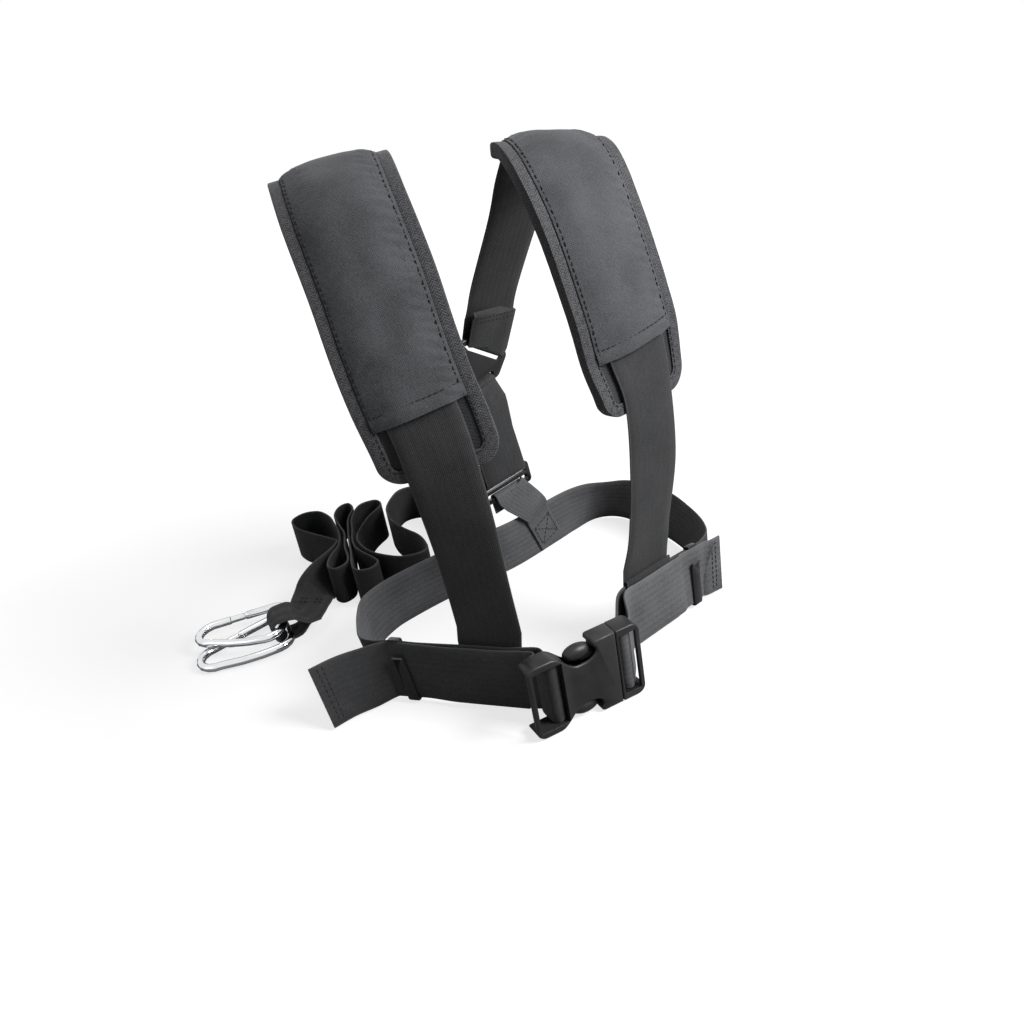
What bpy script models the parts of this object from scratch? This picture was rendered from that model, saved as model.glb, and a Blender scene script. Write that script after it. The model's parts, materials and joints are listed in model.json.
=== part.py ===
import math

import bmesh
import bpy
from mathutils import Matrix, Vector

# Driving sizes, metres
HARNESS_HEIGHT = 0.400
WEBBING_WIDTH = 0.050
WEBBING_THICKNESS = 0.0016
LAYER_GAP = 0.0004
TOUCH_GAP = 0.0003
PULL_WIDTH = 0.038
EYE_WIDTH = 0.027
PAD_WIDTH = 0.085

# Shares of the harness height: middle x, y, z, then the width's lean x, y for each unit up
BELT_ROUTE_SHARES = [
    (0.0020, -0.2893, 0.0775, -0.0200, 0.0500),
    (-0.0275, -0.2760, 0.0755, -0.0200, 0.0500),
    (-0.0575, -0.2630, 0.0730, -0.0200, 0.0500),
    (-0.0900, -0.2485, 0.0725, -0.0200, 0.0500),
    (-0.1250, -0.2330, 0.0725, -0.0200, 0.0500),
    (-0.1675, -0.2137, 0.0712, 0.0000, 0.0300),
    (-0.2250, -0.1875, 0.0700, 0.0000, 0.0200),
    (-0.2675, -0.1688, 0.0700, -0.0600, 0.0800),
    (-0.3025, -0.1512, 0.0675, -0.1500, 0.1000),
    (-0.3262, -0.1250, 0.0650, -0.1600, 0.0400),
    (-0.3375, -0.0850, 0.0630, -0.1000, 0.0000),
    (-0.3438, -0.0275, 0.0625, -0.0500, 0.0000),
    (-0.3350, 0.0250, 0.0625, -0.1000, -0.0500),
    (-0.3025, 0.0725, 0.0625, -0.1500, -0.1500),
    (-0.2600, 0.1075, 0.0625, -0.1500, -0.1500),
    (-0.1825, 0.1562, 0.0625, -0.0800, -0.1200),
    (-0.0900, 0.2050, 0.0625, -0.0200, -0.0800),
    (-0.0050, 0.2500, 0.0625, 0.0000, -0.1000),
    (0.0825, 0.3175, 0.0625, -0.0500, -0.1400),
    (0.1500, 0.3650, 0.0625, -0.0200, -0.2000),
    (0.2100, 0.3887, 0.0612, 0.0500, -0.3600),
    (0.2675, 0.3725, 0.0600, 0.1200, -0.4200),
    (0.3225, 0.3125, 0.0612, 0.1400, -0.2000),
    (0.3600, 0.2400, 0.0625, 0.0800, -0.0800),
    (0.3837, 0.1600, 0.0625, 0.0400, -0.0200),
    (0.3950, 0.0950, 0.0638, 0.0200, 0.0000),
    (0.3925, 0.0400, 0.0663, 0.0200, 0.0000),
    (0.3775, 0.0050, 0.0690, 0.0200, 0.0000),
    (0.3550, -0.0215, 0.0705, 0.0000, 0.0200),
    (0.3200, -0.0467, 0.0720, -0.0400, 0.0600),
    (0.2800, -0.0755, 0.0725, -0.0600, 0.0800),
    (0.2425, -0.1025, 0.0725, -0.0600, 0.0800),
    (0.2100, -0.1265, 0.0735, -0.0600, 0.0800),
    (0.1862, -0.1440, 0.0750, -0.0600, 0.0800),
    (0.1688, -0.1713, 0.0775, -0.0300, 0.0400),
]
TAIL_LEFT_ROUTE_SHARES = [
    (-0.2950, -0.1725, 0.0663, -0.1600, 0.1400),
    (-0.3350, -0.1750, 0.0638, -0.2200, 0.2200),
    (-0.3775, -0.1875, 0.0625, -0.2000, 0.3000),
    (-0.4200, -0.2100, 0.0610, -0.1600, 0.4000),
]
TAIL_RIGHT_ROUTE_SHARES = [
    (0.3775, -0.0150, 0.0670, 0.0000, 0.0200),
    (0.3937, -0.0055, 0.0655, 0.0000, 0.0200),
    (0.4100, 0.0040, 0.0645, 0.0000, 0.0400),
]

# Shares of the harness height: middle x, y, z, then shares of a right angle: yaw and tilt of the width
STRAP_LEFT_ROUTE_SHARES = [
    (-0.0800, -0.2495, 0.1725, -0.2667, 0.0444),
    (-0.0845, -0.2515, 0.2700, -0.2667, 0.0778),
    (-0.0900, -0.2462, 0.3650, -0.2000, 0.0778),
    (-0.0985, -0.2368, 0.4575, -0.1000, 0.0778),
    (-0.1090, -0.2240, 0.5450, 0.0111, 0.0889),
    (-0.1265, -0.2102, 0.6300, 0.0556, 0.0889),
    (-0.1397, -0.1915, 0.7075, 0.0556, 0.0889),
    (-0.1550, -0.1530, 0.8050, 0.0444, 0.1000),
    (-0.1800, -0.0772, 0.9100, 0.0444, 0.0889),
    (-0.1975, 0.0150, 0.9637, 0.0778, 0.0556),
    (-0.2100, 0.0950, 0.9550, 0.1222, 0.0444),
    (-0.2150, 0.1550, 0.9125, 0.1667, 0.0444),
    (-0.2125, 0.2000, 0.8450, 0.2222, 0.0778),
    (-0.1950, 0.2250, 0.7575, 0.3111, 0.1444),
    (-0.1675, 0.2275, 0.6700, 0.4000, 0.2000),
    (-0.1400, 0.2200, 0.6050, 0.4556, 0.2444),
]
STRAP_RIGHT_ROUTE_SHARES = [
    (0.2395, -0.0963, 0.1650, 0.4000, -0.0333),
    (0.2525, -0.1050, 0.2375, 0.4667, -0.1444),
    (0.2725, -0.1085, 0.3725, 0.4111, -0.0889),
    (0.2775, -0.1025, 0.5075, 0.4222, -0.0444),
    (0.2650, -0.0993, 0.6000, 0.3333, 0.0667),
    (0.2550, -0.0997, 0.6675, 0.3444, 0.0778),
    (0.2437, -0.0973, 0.7300, 0.3522, 0.0667),
    (0.2238, -0.0793, 0.8300, 0.3444, 0.0000),
    (0.2025, -0.0265, 0.9100, 0.2778, -0.0556),
    (0.1850, 0.0475, 0.9425, 0.2333, -0.0889),
    (0.1650, 0.1150, 0.9275, 0.2444, -0.0889),
    (0.1400, 0.1700, 0.8750, 0.2889, -0.0889),
    (0.1100, 0.2175, 0.7950, 0.3667, -0.1111),
    (0.0525, 0.2725, 0.6600, 0.4444, -0.2222),
    (0.0275, 0.2888, 0.5900, 0.4556, -0.3111),
]
BACK_STRAP_ROUTE_SHARES = [
    (-0.0125, 0.2800, 0.3950, 0.4667, 0.0222),
    (-0.0100, 0.2700, 0.3300, 0.4667, -0.0111),
]
BACK_TAB_ROUTE_SHARES = [
    (0.0175, 0.2487, 0.1075, 0.4556, -0.0889),
    (0.0325, 0.2600, 0.0925, 0.4556, -0.1111),
]

# Shares of the harness height: middle x, y, z of the pull strap standing on its edge
PULL_ROUTE_SHARES = [
    (-0.0148, 0.2560, 0.0485),
    (-0.0310, 0.2498, 0.0485),
    (-0.0485, 0.2505, 0.0485),
    (-0.0665, 0.2670, 0.0485),
    (-0.0875, 0.3100, 0.0485),
    (-0.1200, 0.3950, 0.0485),
    (-0.1650, 0.4825, 0.0485),
    (-0.2060, 0.5553, 0.0485),
    (-0.2398, 0.5945, 0.0485),
    (-0.2802, 0.5905, 0.0485),
    (-0.3018, 0.5503, 0.0485),
    (-0.3123, 0.4898, 0.0485),
    (-0.2953, 0.4192, 0.0485),
    (-0.2650, 0.3680, 0.0485),
    (-0.2293, 0.3208, 0.0485),
    (-0.2120, 0.2772, 0.0485),
    (-0.2082, 0.2450, 0.0485),
    (-0.2298, 0.2290, 0.0485),
    (-0.2672, 0.2282, 0.0485),
    (-0.3023, 0.2467, 0.0485),
    (-0.3385, 0.2765, 0.0485),
    (-0.3663, 0.3195, 0.0485),
    (-0.3802, 0.3673, 0.0485),
    (-0.3717, 0.4205, 0.0485),
    (-0.3542, 0.4733, 0.0485),
    (-0.3308, 0.5148, 0.0485),
    (-0.3315, 0.5413, 0.0485),
    (-0.3485, 0.5570, 0.0485),
    (-0.3800, 0.5485, 0.0485),
    (-0.3950, 0.5185, 0.0485),
    (-0.4005, 0.4685, 0.0485),
    (-0.3950, 0.4117, 0.0485),
    (-0.3917, 0.3627, 0.0485),
    (-0.3823, 0.3210, 0.0485),
    (-0.3610, 0.2838, 0.0485),
    (-0.3367, 0.2525, 0.0485),
    (-0.3225, 0.2255, 0.0485),
    (-0.3385, 0.2005, 0.0485),
    (-0.3677, 0.2023, 0.0485),
    (-0.3830, 0.2285, 0.0485),
    (-0.3900, 0.2898, 0.0485),
    (-0.4000, 0.3633, 0.0485),
    (-0.4058, 0.4125, 0.0485),
    (-0.4100, 0.4780, 0.0485),
    (-0.4020, 0.5315, 0.0485),
    (-0.4165, 0.5660, 0.0485),
    (-0.4392, 0.5540, 0.0485),
    (-0.4480, 0.5098, 0.0485),
    (-0.4305, 0.4502, 0.0485),
    (-0.4148, 0.4042, 0.0485),
    (-0.4108, 0.3617, 0.0485),
    (-0.4062, 0.3208, 0.0485),
    (-0.3967, 0.2823, 0.0485),
    (-0.3977, 0.2475, 0.0485),
    (-0.4213, 0.2282, 0.0485),
    (-0.4415, 0.2482, 0.0485),
    (-0.4395, 0.2943, 0.0485),
    (-0.4260, 0.3327, 0.0485),
    (-0.4235, 0.3633, 0.0485),
    (-0.4273, 0.4065, 0.0485),
    (-0.4452, 0.4660, 0.0485),
    (-0.4620, 0.5110, 0.0485),
    (-0.4940, 0.5505, 0.0485),
    (-0.5348, 0.5540, 0.0485),
    (-0.5593, 0.5227, 0.0485),
    (-0.5400, 0.4750, 0.0485),
    (-0.4995, 0.4327, 0.0485),
    (-0.4625, 0.4000, 0.0485),
    (-0.4345, 0.3738, 0.0485),
    (-0.4300, 0.3617, 0.0485),
    (-0.4383, 0.3367, 0.0490),
]
# The same, then the direction of the width
PULL_RUN_ROUTE_SHARES = [
    (-0.4525, 0.3025, 0.0485, -0.0800, 0.2200, 0.9700),
    (-0.4700, 0.2650, 0.0465, -0.2500, 0.5000, 0.8000),
    (-0.4875, 0.2200, 0.0375, -0.4000, 0.8800, 0.2200),
]
RIGHT_ANGLE = math.pi / 2

# Steps along the soft routes
BELT_STEPS = 2
STRAP_STEPS = 5
PULL_STEPS = 2
FOLD_STEPS = 8

# Layers where the belt, its tails and the shoulder loops lie on each other
LOOP_OFFSET = WEBBING_THICKNESS + LAYER_GAP
TAIL_OVER_LOOP = 2 * LOOP_OFFSET + LAYER_GAP
LOOP_TURN_DROP = 0.0004
LOOP_END_RISE = 0.012
LOOP_LEFT_PLACE_SHARES = (-0.0880, -0.2500)
LOOP_RIGHT_PLACE_SHARES = (0.2430, -0.1010)

# Buckle, in its own axes: x from female to male bar, y inwards, z up
BUCKLE_PLACE_SHARES = (0.0720, -0.3105)
BUCKLE_YAW = math.radians(23)
BUCKLE_LENGTH = 0.092
BUCKLE_THICKNESS = 0.016
RAIL = 0.0054
RAIL_CLEARANCE = 0.0006
BUCKLE_HEIGHT = WEBBING_WIDTH + 2 * (RAIL + RAIL_CLEARANCE)
OUTER_BAR = 0.0034
SEAM = 0.0004
FLANGE = 0.0018
FEMALE_FRAME = 0.0270
MALE_FRAME = 0.0200
BODY_START_X = FEMALE_FRAME - BUCKLE_LENGTH / 2
BODY_END_X = BUCKLE_LENGTH / 2 - MALE_FRAME
BODY_LENGTH = BODY_END_X - BODY_START_X
BAR_RADIUS = 0.0034
WRAP_RADIUS = BAR_RADIUS + TOUCH_GAP + WEBBING_THICKNESS / 2
ROLL_RADIUS = WRAP_RADIUS + WEBBING_THICKNESS / 2
ROLL_CLEARANCE = 0.0007
FEMALE_BAR_X = BODY_START_X - ROLL_RADIUS - ROLL_CLEARANCE
MALE_BAR_X = (BODY_END_X + SEAM + FLANGE + BUCKLE_LENGTH / 2 - OUTER_BAR) / 2
FEMALE_LEAVING = math.radians(122)
MALE_LEAVING = math.radians(75)
FEMALE_LEAD_SHARES = (0.013, 0.026)
MALE_LEAD_SHARES = (0.020, 0.043)

# Where things sit along the belt, as shares of the harness height: the nearest point of its main run
KEEPER_LEFT_PLACE_SHARES = (-0.2560, -0.1750)
KEEPER_RIGHT_PLACE_SHARES = (0.3380, -0.0290)
TAB_PLACE_SHARES = (0.0850, 0.3180)


# Smallest lengths that still count
MERGE = 0.00002
TINY = 1e-9


def clear_scene():
    for thing in list(bpy.data.objects):
        bpy.data.objects.remove(thing, do_unlink=True)


def collection(name, hidden=False):
    made = bpy.data.collections.new(name)
    bpy.context.scene.collection.children.link(made)
    made.hide_render = hidden
    return made


def material(name, colour, roughness, metallic=0.0):
    made = bpy.data.materials.new(name)
    made.use_nodes = True
    shader = made.node_tree.nodes["Principled BSDF"]
    shader.inputs["Base Color"].default_value = (*colour, 1)
    shader.inputs["Roughness"].default_value = roughness
    shader.inputs["Metallic"].default_value = metallic
    return made


def finish(name, bm, mat, origin=(0, 0, 0)):
    bmesh.ops.recalc_face_normals(bm, faces=bm.faces)
    mesh = bpy.data.meshes.new(name)
    bmesh.ops.translate(bm, verts=bm.verts, vec=-Vector(origin))
    bm.to_mesh(mesh)
    bm.free()
    mesh.materials.append(mat)
    made = bpy.data.objects.new(name, mesh)
    made.location = origin
    OBJECT.objects.link(made)
    return made


def curve_through(rows, steps):
    """Smooth rows of numbers: a Catmull-Rom curve through every row"""
    rows = [list(r) for r in rows]
    first = [2 * a - b for a, b in zip(rows[0], rows[1])]
    last = [2 * a - b for a, b in zip(rows[-1], rows[-2])]
    p = [first] + rows + [last]
    out = []
    for i in range(len(rows) - 1):
        for k in range(steps):
            t = k / steps
            out.append([
                0.5 * (2 * b + (c - a) * t + (2 * a - 5 * b + 4 * c - d) * t * t
                       + (3 * b - a - 3 * c + d) * t ** 3)
                for a, b, c, d in zip(p[i], p[i + 1], p[i + 2], p[i + 3])])
    out.append(rows[-1])
    return out


class Route:
    """Points with a width direction; frames are tangent, across and outward"""

    def __init__(self, points, across):
        self.p = [Vector(q) for q in points]
        self.t, self.w, self.n, self.s = [], [], [], [0.0]
        for i in range(len(self.p)):
            ahead = self.p[min(i + 1, len(self.p) - 1)] - self.p[i]
            behind = self.p[i] - self.p[max(i - 1, 0)]
            t = Vector()
            if ahead.length > 0:
                t += ahead.normalized()
            if behind.length > 0:
                t += behind.normalized()
            t.normalize()
            w = Vector(across[i])
            w = (w - w.dot(t) * t).normalized()
            self.t.append(t)
            self.w.append(w)
            self.n.append(w.cross(t).normalized())
        for a, b in zip(self.p, self.p[1:]):
            self.s.append(self.s[-1] + (b - a).length)

    def length(self):
        return self.s[-1]

    def at(self, s):
        s = min(max(s, 0.0), self.s[-1])
        i = 0
        while i < len(self.s) - 2 and self.s[i + 1] < s:
            i += 1
        f = (s - self.s[i]) / max(self.s[i + 1] - self.s[i], TINY)
        mix = [a[i].lerp(a[i + 1], f) for a in (self.p, self.t, self.w, self.n)]
        return mix[0], mix[1].normalized(), mix[2].normalized(), mix[3].normalized()

    def put(self, s, x, h):
        """A point s along, x across and h outwards"""
        p, t, w, n = self.at(s)
        over = s - min(max(s, 0.0), self.s[-1])
        return p + t * over + w * x + n * h

    def offset(self, out):
        return [p + n * o for p, n, o in zip(self.p, self.n, out)]


def ring_edges(ring):
    return [e for a, b in zip(ring, ring[1:] + ring[:1]) for e in a.link_edges if e.other_vert(a) == b]


def sweep(name, rings, mat, closed=False, origin=(0, 0, 0), keep=False):
    """Rings of points, each extruded from the one before it, then capped or joined"""
    bm = bmesh.new()
    ring = [bm.verts.new(q) for q in rings[0]]
    for a, b in zip(ring, ring[1:] + ring[:1]):
        bm.edges.new((a, b))
    first = ring
    for place in rings[1:]:
        grown = bmesh.ops.extrude_edge_only(bm, edges=ring_edges(ring))["geom"]
        fresh = {g for g in grown if isinstance(g, bmesh.types.BMVert)}
        ring = [next(e.other_vert(v) for e in v.link_edges if e.other_vert(v) in fresh) for v in ring]
        for v, q in zip(ring, place):
            v.co = q
    if closed:
        bmesh.ops.bridge_loops(bm, edges=ring_edges(first) + ring_edges(ring))
    else:
        bmesh.ops.contextual_create(bm, geom=ring_edges(first))
        bmesh.ops.contextual_create(bm, geom=ring_edges(ring))
    if keep:
        return bm
    return finish(name, bm, mat, origin)


def strip(name, route, mat, width=WEBBING_WIDTH, thickness=WEBBING_THICKNESS, taper=None, middle=False):
    """Flat webbing along a route"""
    rings = []
    for i in range(len(route.p)):
        half = width / 2 * (taper[i] if taper else 1)
        p, w, n = route.p[i], route.w[i], route.n[i]
        h = thickness / 2
        section = [(-half, -h), (half, -h), (half, h), (-half, h)]
        if middle:
            section = [(-half, -h), (0, -h), (half, -h), (half, h), (0, h), (-half, h)]
        rings.append([p + w * x + n * y for x, y in section])
    return sweep(name, rings, mat)


def rounded_box(size, radius, centre=(0, 0, 0), steps=2):
    """A box with rounded edges, as a mesh to place"""
    bm = bmesh.new()
    bmesh.ops.create_cube(bm, size=1)
    bmesh.ops.scale(bm, vec=Vector(size), verts=bm.verts)
    bmesh.ops.bevel(bm, geom=bm.edges, offset=radius, segments=steps, profile=0.5, affect="EDGES")
    bmesh.ops.translate(bm, verts=bm.verts, vec=Vector(centre))
    return bm


def cylinder(radius, depth, axis, centre, segments=24, bevel=0.0):
    bm = bmesh.new()
    bmesh.ops.create_cone(bm, cap_ends=True, segments=segments, radius1=radius, radius2=radius, depth=depth)
    if bevel:
        rims = [e for e in bm.edges if abs(e.verts[0].co.z - e.verts[1].co.z) < bevel]
        bmesh.ops.bevel(bm, geom=rims, offset=bevel, segments=2, profile=0.5, affect="EDGES")
    turn = Vector((0, 0, 1)).rotation_difference(Vector(axis)).to_matrix()
    bmesh.ops.rotate(bm, verts=bm.verts, matrix=turn, cent=(0, 0, 0))
    bmesh.ops.translate(bm, verts=bm.verts, vec=Vector(centre))
    return bm


def cutter(name, bm):
    mesh = bpy.data.meshes.new(name)
    bmesh.ops.recalc_face_normals(bm, faces=bm.faces)
    bm.to_mesh(mesh)
    bm.free()
    made = bpy.data.objects.new(name, mesh)
    made.display_type = "WIRE"
    made.hide_render = True
    CUTTERS.objects.link(made)
    return made


def boolean(target, tool, operation):
    mod = target.modifiers.new(tool.name, "BOOLEAN")
    mod.operation = operation
    mod.solver = "EXACT"
    mod.object = tool


def settle(target, place=None, origin=None):
    """Apply the modifiers, then move the mesh to its place in the world"""
    depsgraph = bpy.context.evaluated_depsgraph_get()
    mesh = bpy.data.meshes.new_from_object(target.evaluated_get(depsgraph))
    bm = bmesh.new()
    bm.from_mesh(mesh)
    bmesh.ops.remove_doubles(bm, verts=bm.verts, dist=MERGE)
    bmesh.ops.dissolve_degenerate(bm, edges=bm.edges, dist=MERGE)
    if place is not None:
        bmesh.ops.transform(bm, matrix=place, verts=bm.verts)
    if origin is not None:
        bmesh.ops.translate(bm, verts=bm.verts, vec=-Vector(origin))
        target.location = origin
    bmesh.ops.recalc_face_normals(bm, faces=bm.faces)
    bm.to_mesh(mesh)
    bm.free()
    target.modifiers.clear()
    mesh.materials.clear()
    mesh.materials.append(target.data.materials[0])
    target.data = mesh
    for group in list(CUTTERS.objects):
        bpy.data.objects.remove(group, do_unlink=True)


clear_scene()
OBJECT = collection("resistance_sprint_trainer")
JOINT_PLACES = []
CUTTERS = collection("cutters", hidden=True)

webbing = material("webbing", (0.030, 0.031, 0.033), 0.85)
lining_cloth = material("lining_cloth", (0.030, 0.030, 0.032), 0.9)
cover_cloth = material("cover_cloth", (0.070, 0.072, 0.078), 0.85)
binding_tape = material("binding_tape", (0.045, 0.046, 0.049), 0.85)
buckle_plastic = material("buckle_plastic", (0.015, 0.015, 0.016), 0.45)
gloss_black = material("gloss_black", (0.010, 0.010, 0.011), 0.2)
steel = material("steel", (0.75, 0.76, 0.78), 0.15, 1.0)


# The belt's main run, clockwise from the female bar to the male bar

u_axis = Vector((math.cos(BUCKLE_YAW), math.sin(BUCKLE_YAW), 0))
m_axis = Vector((-math.sin(BUCKLE_YAW), math.cos(BUCKLE_YAW), 0))
up_axis = Vector((0, 0, 1))
BUCKLE_CENTRE = Vector((*(v * HARNESS_HEIGHT for v in BUCKLE_PLACE_SHARES), BUCKLE_HEIGHT / 2))
PLACE = Matrix.Translation(BUCKLE_CENTRE) @ Matrix.Rotation(BUCKLE_YAW, 4, "Z")


def sized(rows, places=3):
    return [[v * HARNESS_HEIGHT for v in r[:places]] + list(r[places:]) for r in rows]


def heading(angle):
    return Vector((math.cos(angle), math.sin(angle), 0))


female_bar = BUCKLE_CENTRE + u_axis * FEMALE_BAR_X
male_bar = BUCKLE_CENTRE + u_axis * MALE_BAR_X
female_out = heading(FEMALE_LEAVING + RIGHT_ANGLE)
male_out = heading(MALE_LEAVING - RIGHT_ANGLE)
female_inner = female_bar - female_out * WRAP_RADIUS
male_inner = male_bar - male_out * WRAP_RADIUS

def lead(start, angle, share):
    """A row of the belt straight on from a buckle bar"""
    return [*(start + heading(angle) * share * HARNESS_HEIGHT), 0, 0]


female_lead = [lead(female_inner, FEMALE_LEAVING, k) for k in (0, *FEMALE_LEAD_SHARES)]
male_lead = [lead(male_inner, MALE_LEAVING, k) for k in (*reversed(MALE_LEAD_SHARES), 0)]
belt_rows = female_lead + sized(BELT_ROUTE_SHARES) + male_lead
belt_smooth = curve_through(belt_rows, BELT_STEPS)
main = Route([r[:3] for r in belt_smooth], [(r[3], r[4], 1) for r in belt_smooth])
MAIN_LENGTH = main.length()


def wrap(centre, start, turn):
    """Points round a bar from a starting heading, turning by an angle"""
    return [centre + heading(start + turn * k / FOLD_STEPS) * WRAP_RADIUS for k in range(1, FOLD_STEPS)]


def eased(s, marks):
    """A value that eases between marks of (distance, value)"""
    if s <= marks[0][0]:
        return marks[0][1]
    for (a, va), (b, vb) in zip(marks, marks[1:]):
        if s <= b:
            f = (s - a) / (b - a)
            f = f * f * (3 - 2 * f)
            return va + (vb - va) * f
    return marks[-1][1]


def nearest_s(place_shares):
    x, y = (v * HARNESS_HEIGHT for v in place_shares)
    steps = int(MAIN_LENGTH / WEBBING_THICKNESS)
    return min((MAIN_LENGTH * k / steps for k in range(steps)),
               key=lambda s: (main.at(s)[0].x - x) ** 2 + (main.at(s)[0].y - y) ** 2)


left_loop_s = nearest_s(LOOP_LEFT_PLACE_SHARES)
right_loop_s = nearest_s(LOOP_RIGHT_PLACE_SHARES)
left_keeper_s = nearest_s(KEEPER_LEFT_PLACE_SHARES)
right_keeper_s = nearest_s(KEEPER_RIGHT_PLACE_SHARES)
tab_s = nearest_s(TAB_PLACE_SHARES)
print("belt main run", round(MAIN_LENGTH, 4))
HALF_STRAP = WEBBING_WIDTH / 2
TAIL_AT_KEEPER = LOOP_OFFSET + TOUCH_GAP
EASE_REACH = 0.012
LOOP_MARGIN = 0.004

left_marks = [
    (0.0, 2 * WRAP_RADIUS), (left_loop_s - HALF_STRAP - EASE_REACH / 2, TAIL_OVER_LOOP * 1.2),
    (left_loop_s - HALF_STRAP, TAIL_OVER_LOOP), (left_loop_s + HALF_STRAP + LOOP_MARGIN, TAIL_OVER_LOOP),
    (left_keeper_s - EASE_REACH, TAIL_AT_KEEPER), (left_keeper_s + EASE_REACH, TAIL_AT_KEEPER)]
right_marks = [
    (right_keeper_s - EASE_REACH, TAIL_AT_KEEPER), (right_keeper_s + EASE_REACH, TAIL_AT_KEEPER),
    (right_loop_s - HALF_STRAP - LOOP_MARGIN, TAIL_OVER_LOOP),
    (right_loop_s + HALF_STRAP + LOOP_MARGIN, TAIL_OVER_LOOP),
    (MAIN_LENGTH - EASE_REACH, 2 * WRAP_RADIUS), (MAIN_LENGTH, 2 * WRAP_RADIUS)]

left_parallel = [
    (main.p[i] + main.n[i] * eased(main.s[i], left_marks), main.w[i])
    for i in range(len(main.p)) if EASE_REACH / 2 < main.s[i] < left_keeper_s + EASE_REACH]
right_parallel = [
    (main.p[i] + main.n[i] * eased(main.s[i], right_marks), main.w[i])
    for i in range(len(main.p)) if right_keeper_s - EASE_REACH < main.s[i] < MAIN_LENGTH - EASE_REACH / 2]


def tail_points(parallel, rows):
    """The free end of a tail, smoothed on from the last two parallel points"""
    (a, wa), (b, wb) = parallel
    start = [[*a, wa.x / wa.z, wa.y / wa.z], [*b, wb.x / wb.z, wb.y / wb.z]]
    smooth = curve_through(start + rows, BELT_STEPS)[BELT_STEPS + 1:]
    return [(Vector(r[:3]), Vector((r[3], r[4], 1))) for r in smooth]


left_free = tail_points(left_parallel[-2:], sized(TAIL_LEFT_ROUTE_SHARES))
right_free = tail_points(right_parallel[1::-1], sized(TAIL_RIGHT_ROUTE_SHARES))

female_turn = wrap(female_bar, FEMALE_LEAVING + RIGHT_ANGLE, math.pi)
male_turn = wrap(male_bar, MALE_LEAVING + RIGHT_ANGLE, math.pi)
female_outer = female_bar + female_out * WRAP_RADIUS
male_outer = male_bar + male_out * WRAP_RADIUS

belt_run = [*reversed(left_free), *reversed(left_parallel), (female_outer, up_axis)]
belt_run += [(q, up_axis) for q in female_turn]
belt_run += list(zip(main.p, main.w))
belt_run += [(q, up_axis) for q in male_turn]
belt_run += [(male_outer, up_axis), *reversed(right_parallel), *right_free]
belt = Route([q for q, w in belt_run], [w for q, w in belt_run])
strip("waist_belt", belt, webbing)
print("waist_belt length", round(belt.length(), 4))


# Shoulder straps: a loop round the belt, the shoulder, then a loop round the yoke

YOKE_PLACE_SHARES = (-0.03625, 0.2750, 0.4825)
YOKE_YAW = math.radians(42)
YOKE_LEAN = math.radians(15)
YOKE_SLOT_SLOPE = math.radians(44)
YOKE_ROLL = math.radians(12)
YOKE_BAR_RADIUS = 0.0020
YOKE_TURN = YOKE_BAR_RADIUS * math.sqrt(2) + LAYER_GAP + WEBBING_THICKNESS / 2
UPPER_BAR_OUT = 0.0225
UPPER_BAR_UP = 0.0135
LOWER_BAR_DOWN = 0.0225
YOKE_RETURN = 0.022

yoke_side = Vector((math.cos(YOKE_YAW), math.sin(YOKE_YAW), 0))
yoke_front = Vector((math.sin(YOKE_YAW), -math.cos(YOKE_YAW), 0))
yoke_up = (up_axis * math.cos(YOKE_LEAN) + yoke_front * math.sin(YOKE_LEAN)).normalized()
yoke_face = yoke_side.cross(yoke_up).normalized()
yoke_side, yoke_up = (
    yoke_side * math.cos(YOKE_ROLL) + yoke_up * math.sin(YOKE_ROLL),
    yoke_up * math.cos(YOKE_ROLL) - yoke_side * math.sin(YOKE_ROLL))
yoke_centre = Vector(YOKE_PLACE_SHARES) * HARNESS_HEIGHT
YOKE_FRAME = Matrix.Translation(yoke_centre) @ Matrix((yoke_side, yoke_up, yoke_face)).transposed().to_4x4()


def loop_on_belt(s, flip):
    """The shoulder strap's turn under the belt, from its short end to its inner leg"""
    p, t, w, n = main.at(s)
    across = t * flip
    half = WEBBING_WIDTH / 2
    turn = half + LOOP_TURN_DROP
    points = [p + w * v + n * LOOP_OFFSET for v in (half + LOOP_END_RISE, half, 0, -half)]
    for k in range(FOLD_STEPS + 1):
        a = math.pi * k / FOLD_STEPS
        points.append(p - w * (turn + math.sin(a) * LOOP_OFFSET) + n * math.cos(a) * LOOP_OFFSET)
    points += [p + w * v - n * LOOP_OFFSET for v in (-half, 0, half)]
    return [(q, across) for q in points]


def slot_frame(side):
    """Centre, bar direction and upward direction of an upper slot's bar, side is 1 or -1"""
    centre = yoke_centre + yoke_side * UPPER_BAR_OUT * side + yoke_up * UPPER_BAR_UP
    along = yoke_side * math.cos(YOKE_SLOT_SLOPE) - yoke_up * math.sin(YOKE_SLOT_SLOPE) * side
    upward = yoke_up * math.cos(YOKE_SLOT_SLOPE) + yoke_side * math.sin(YOKE_SLOT_SLOPE) * side
    return centre, along.normalized(), upward.normalized()


def turn_round_bar(centre, along, away, outward, radius, back_length, settle_gap):
    """Down the outward side of a bar, round it, and back up behind as a short sewn leg"""
    points = []
    for k in range(FOLD_STEPS + 1):
        a = math.pi * k / FOLD_STEPS
        points.append(centre + outward * math.cos(a) * radius - away * math.sin(a) * radius)
    for f in (0.25, 0.6, 1.0):
        points.append(centre + away * back_length * f - outward * (radius + (settle_gap - radius) * f))
    return [(q, along) for q in points]


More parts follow.
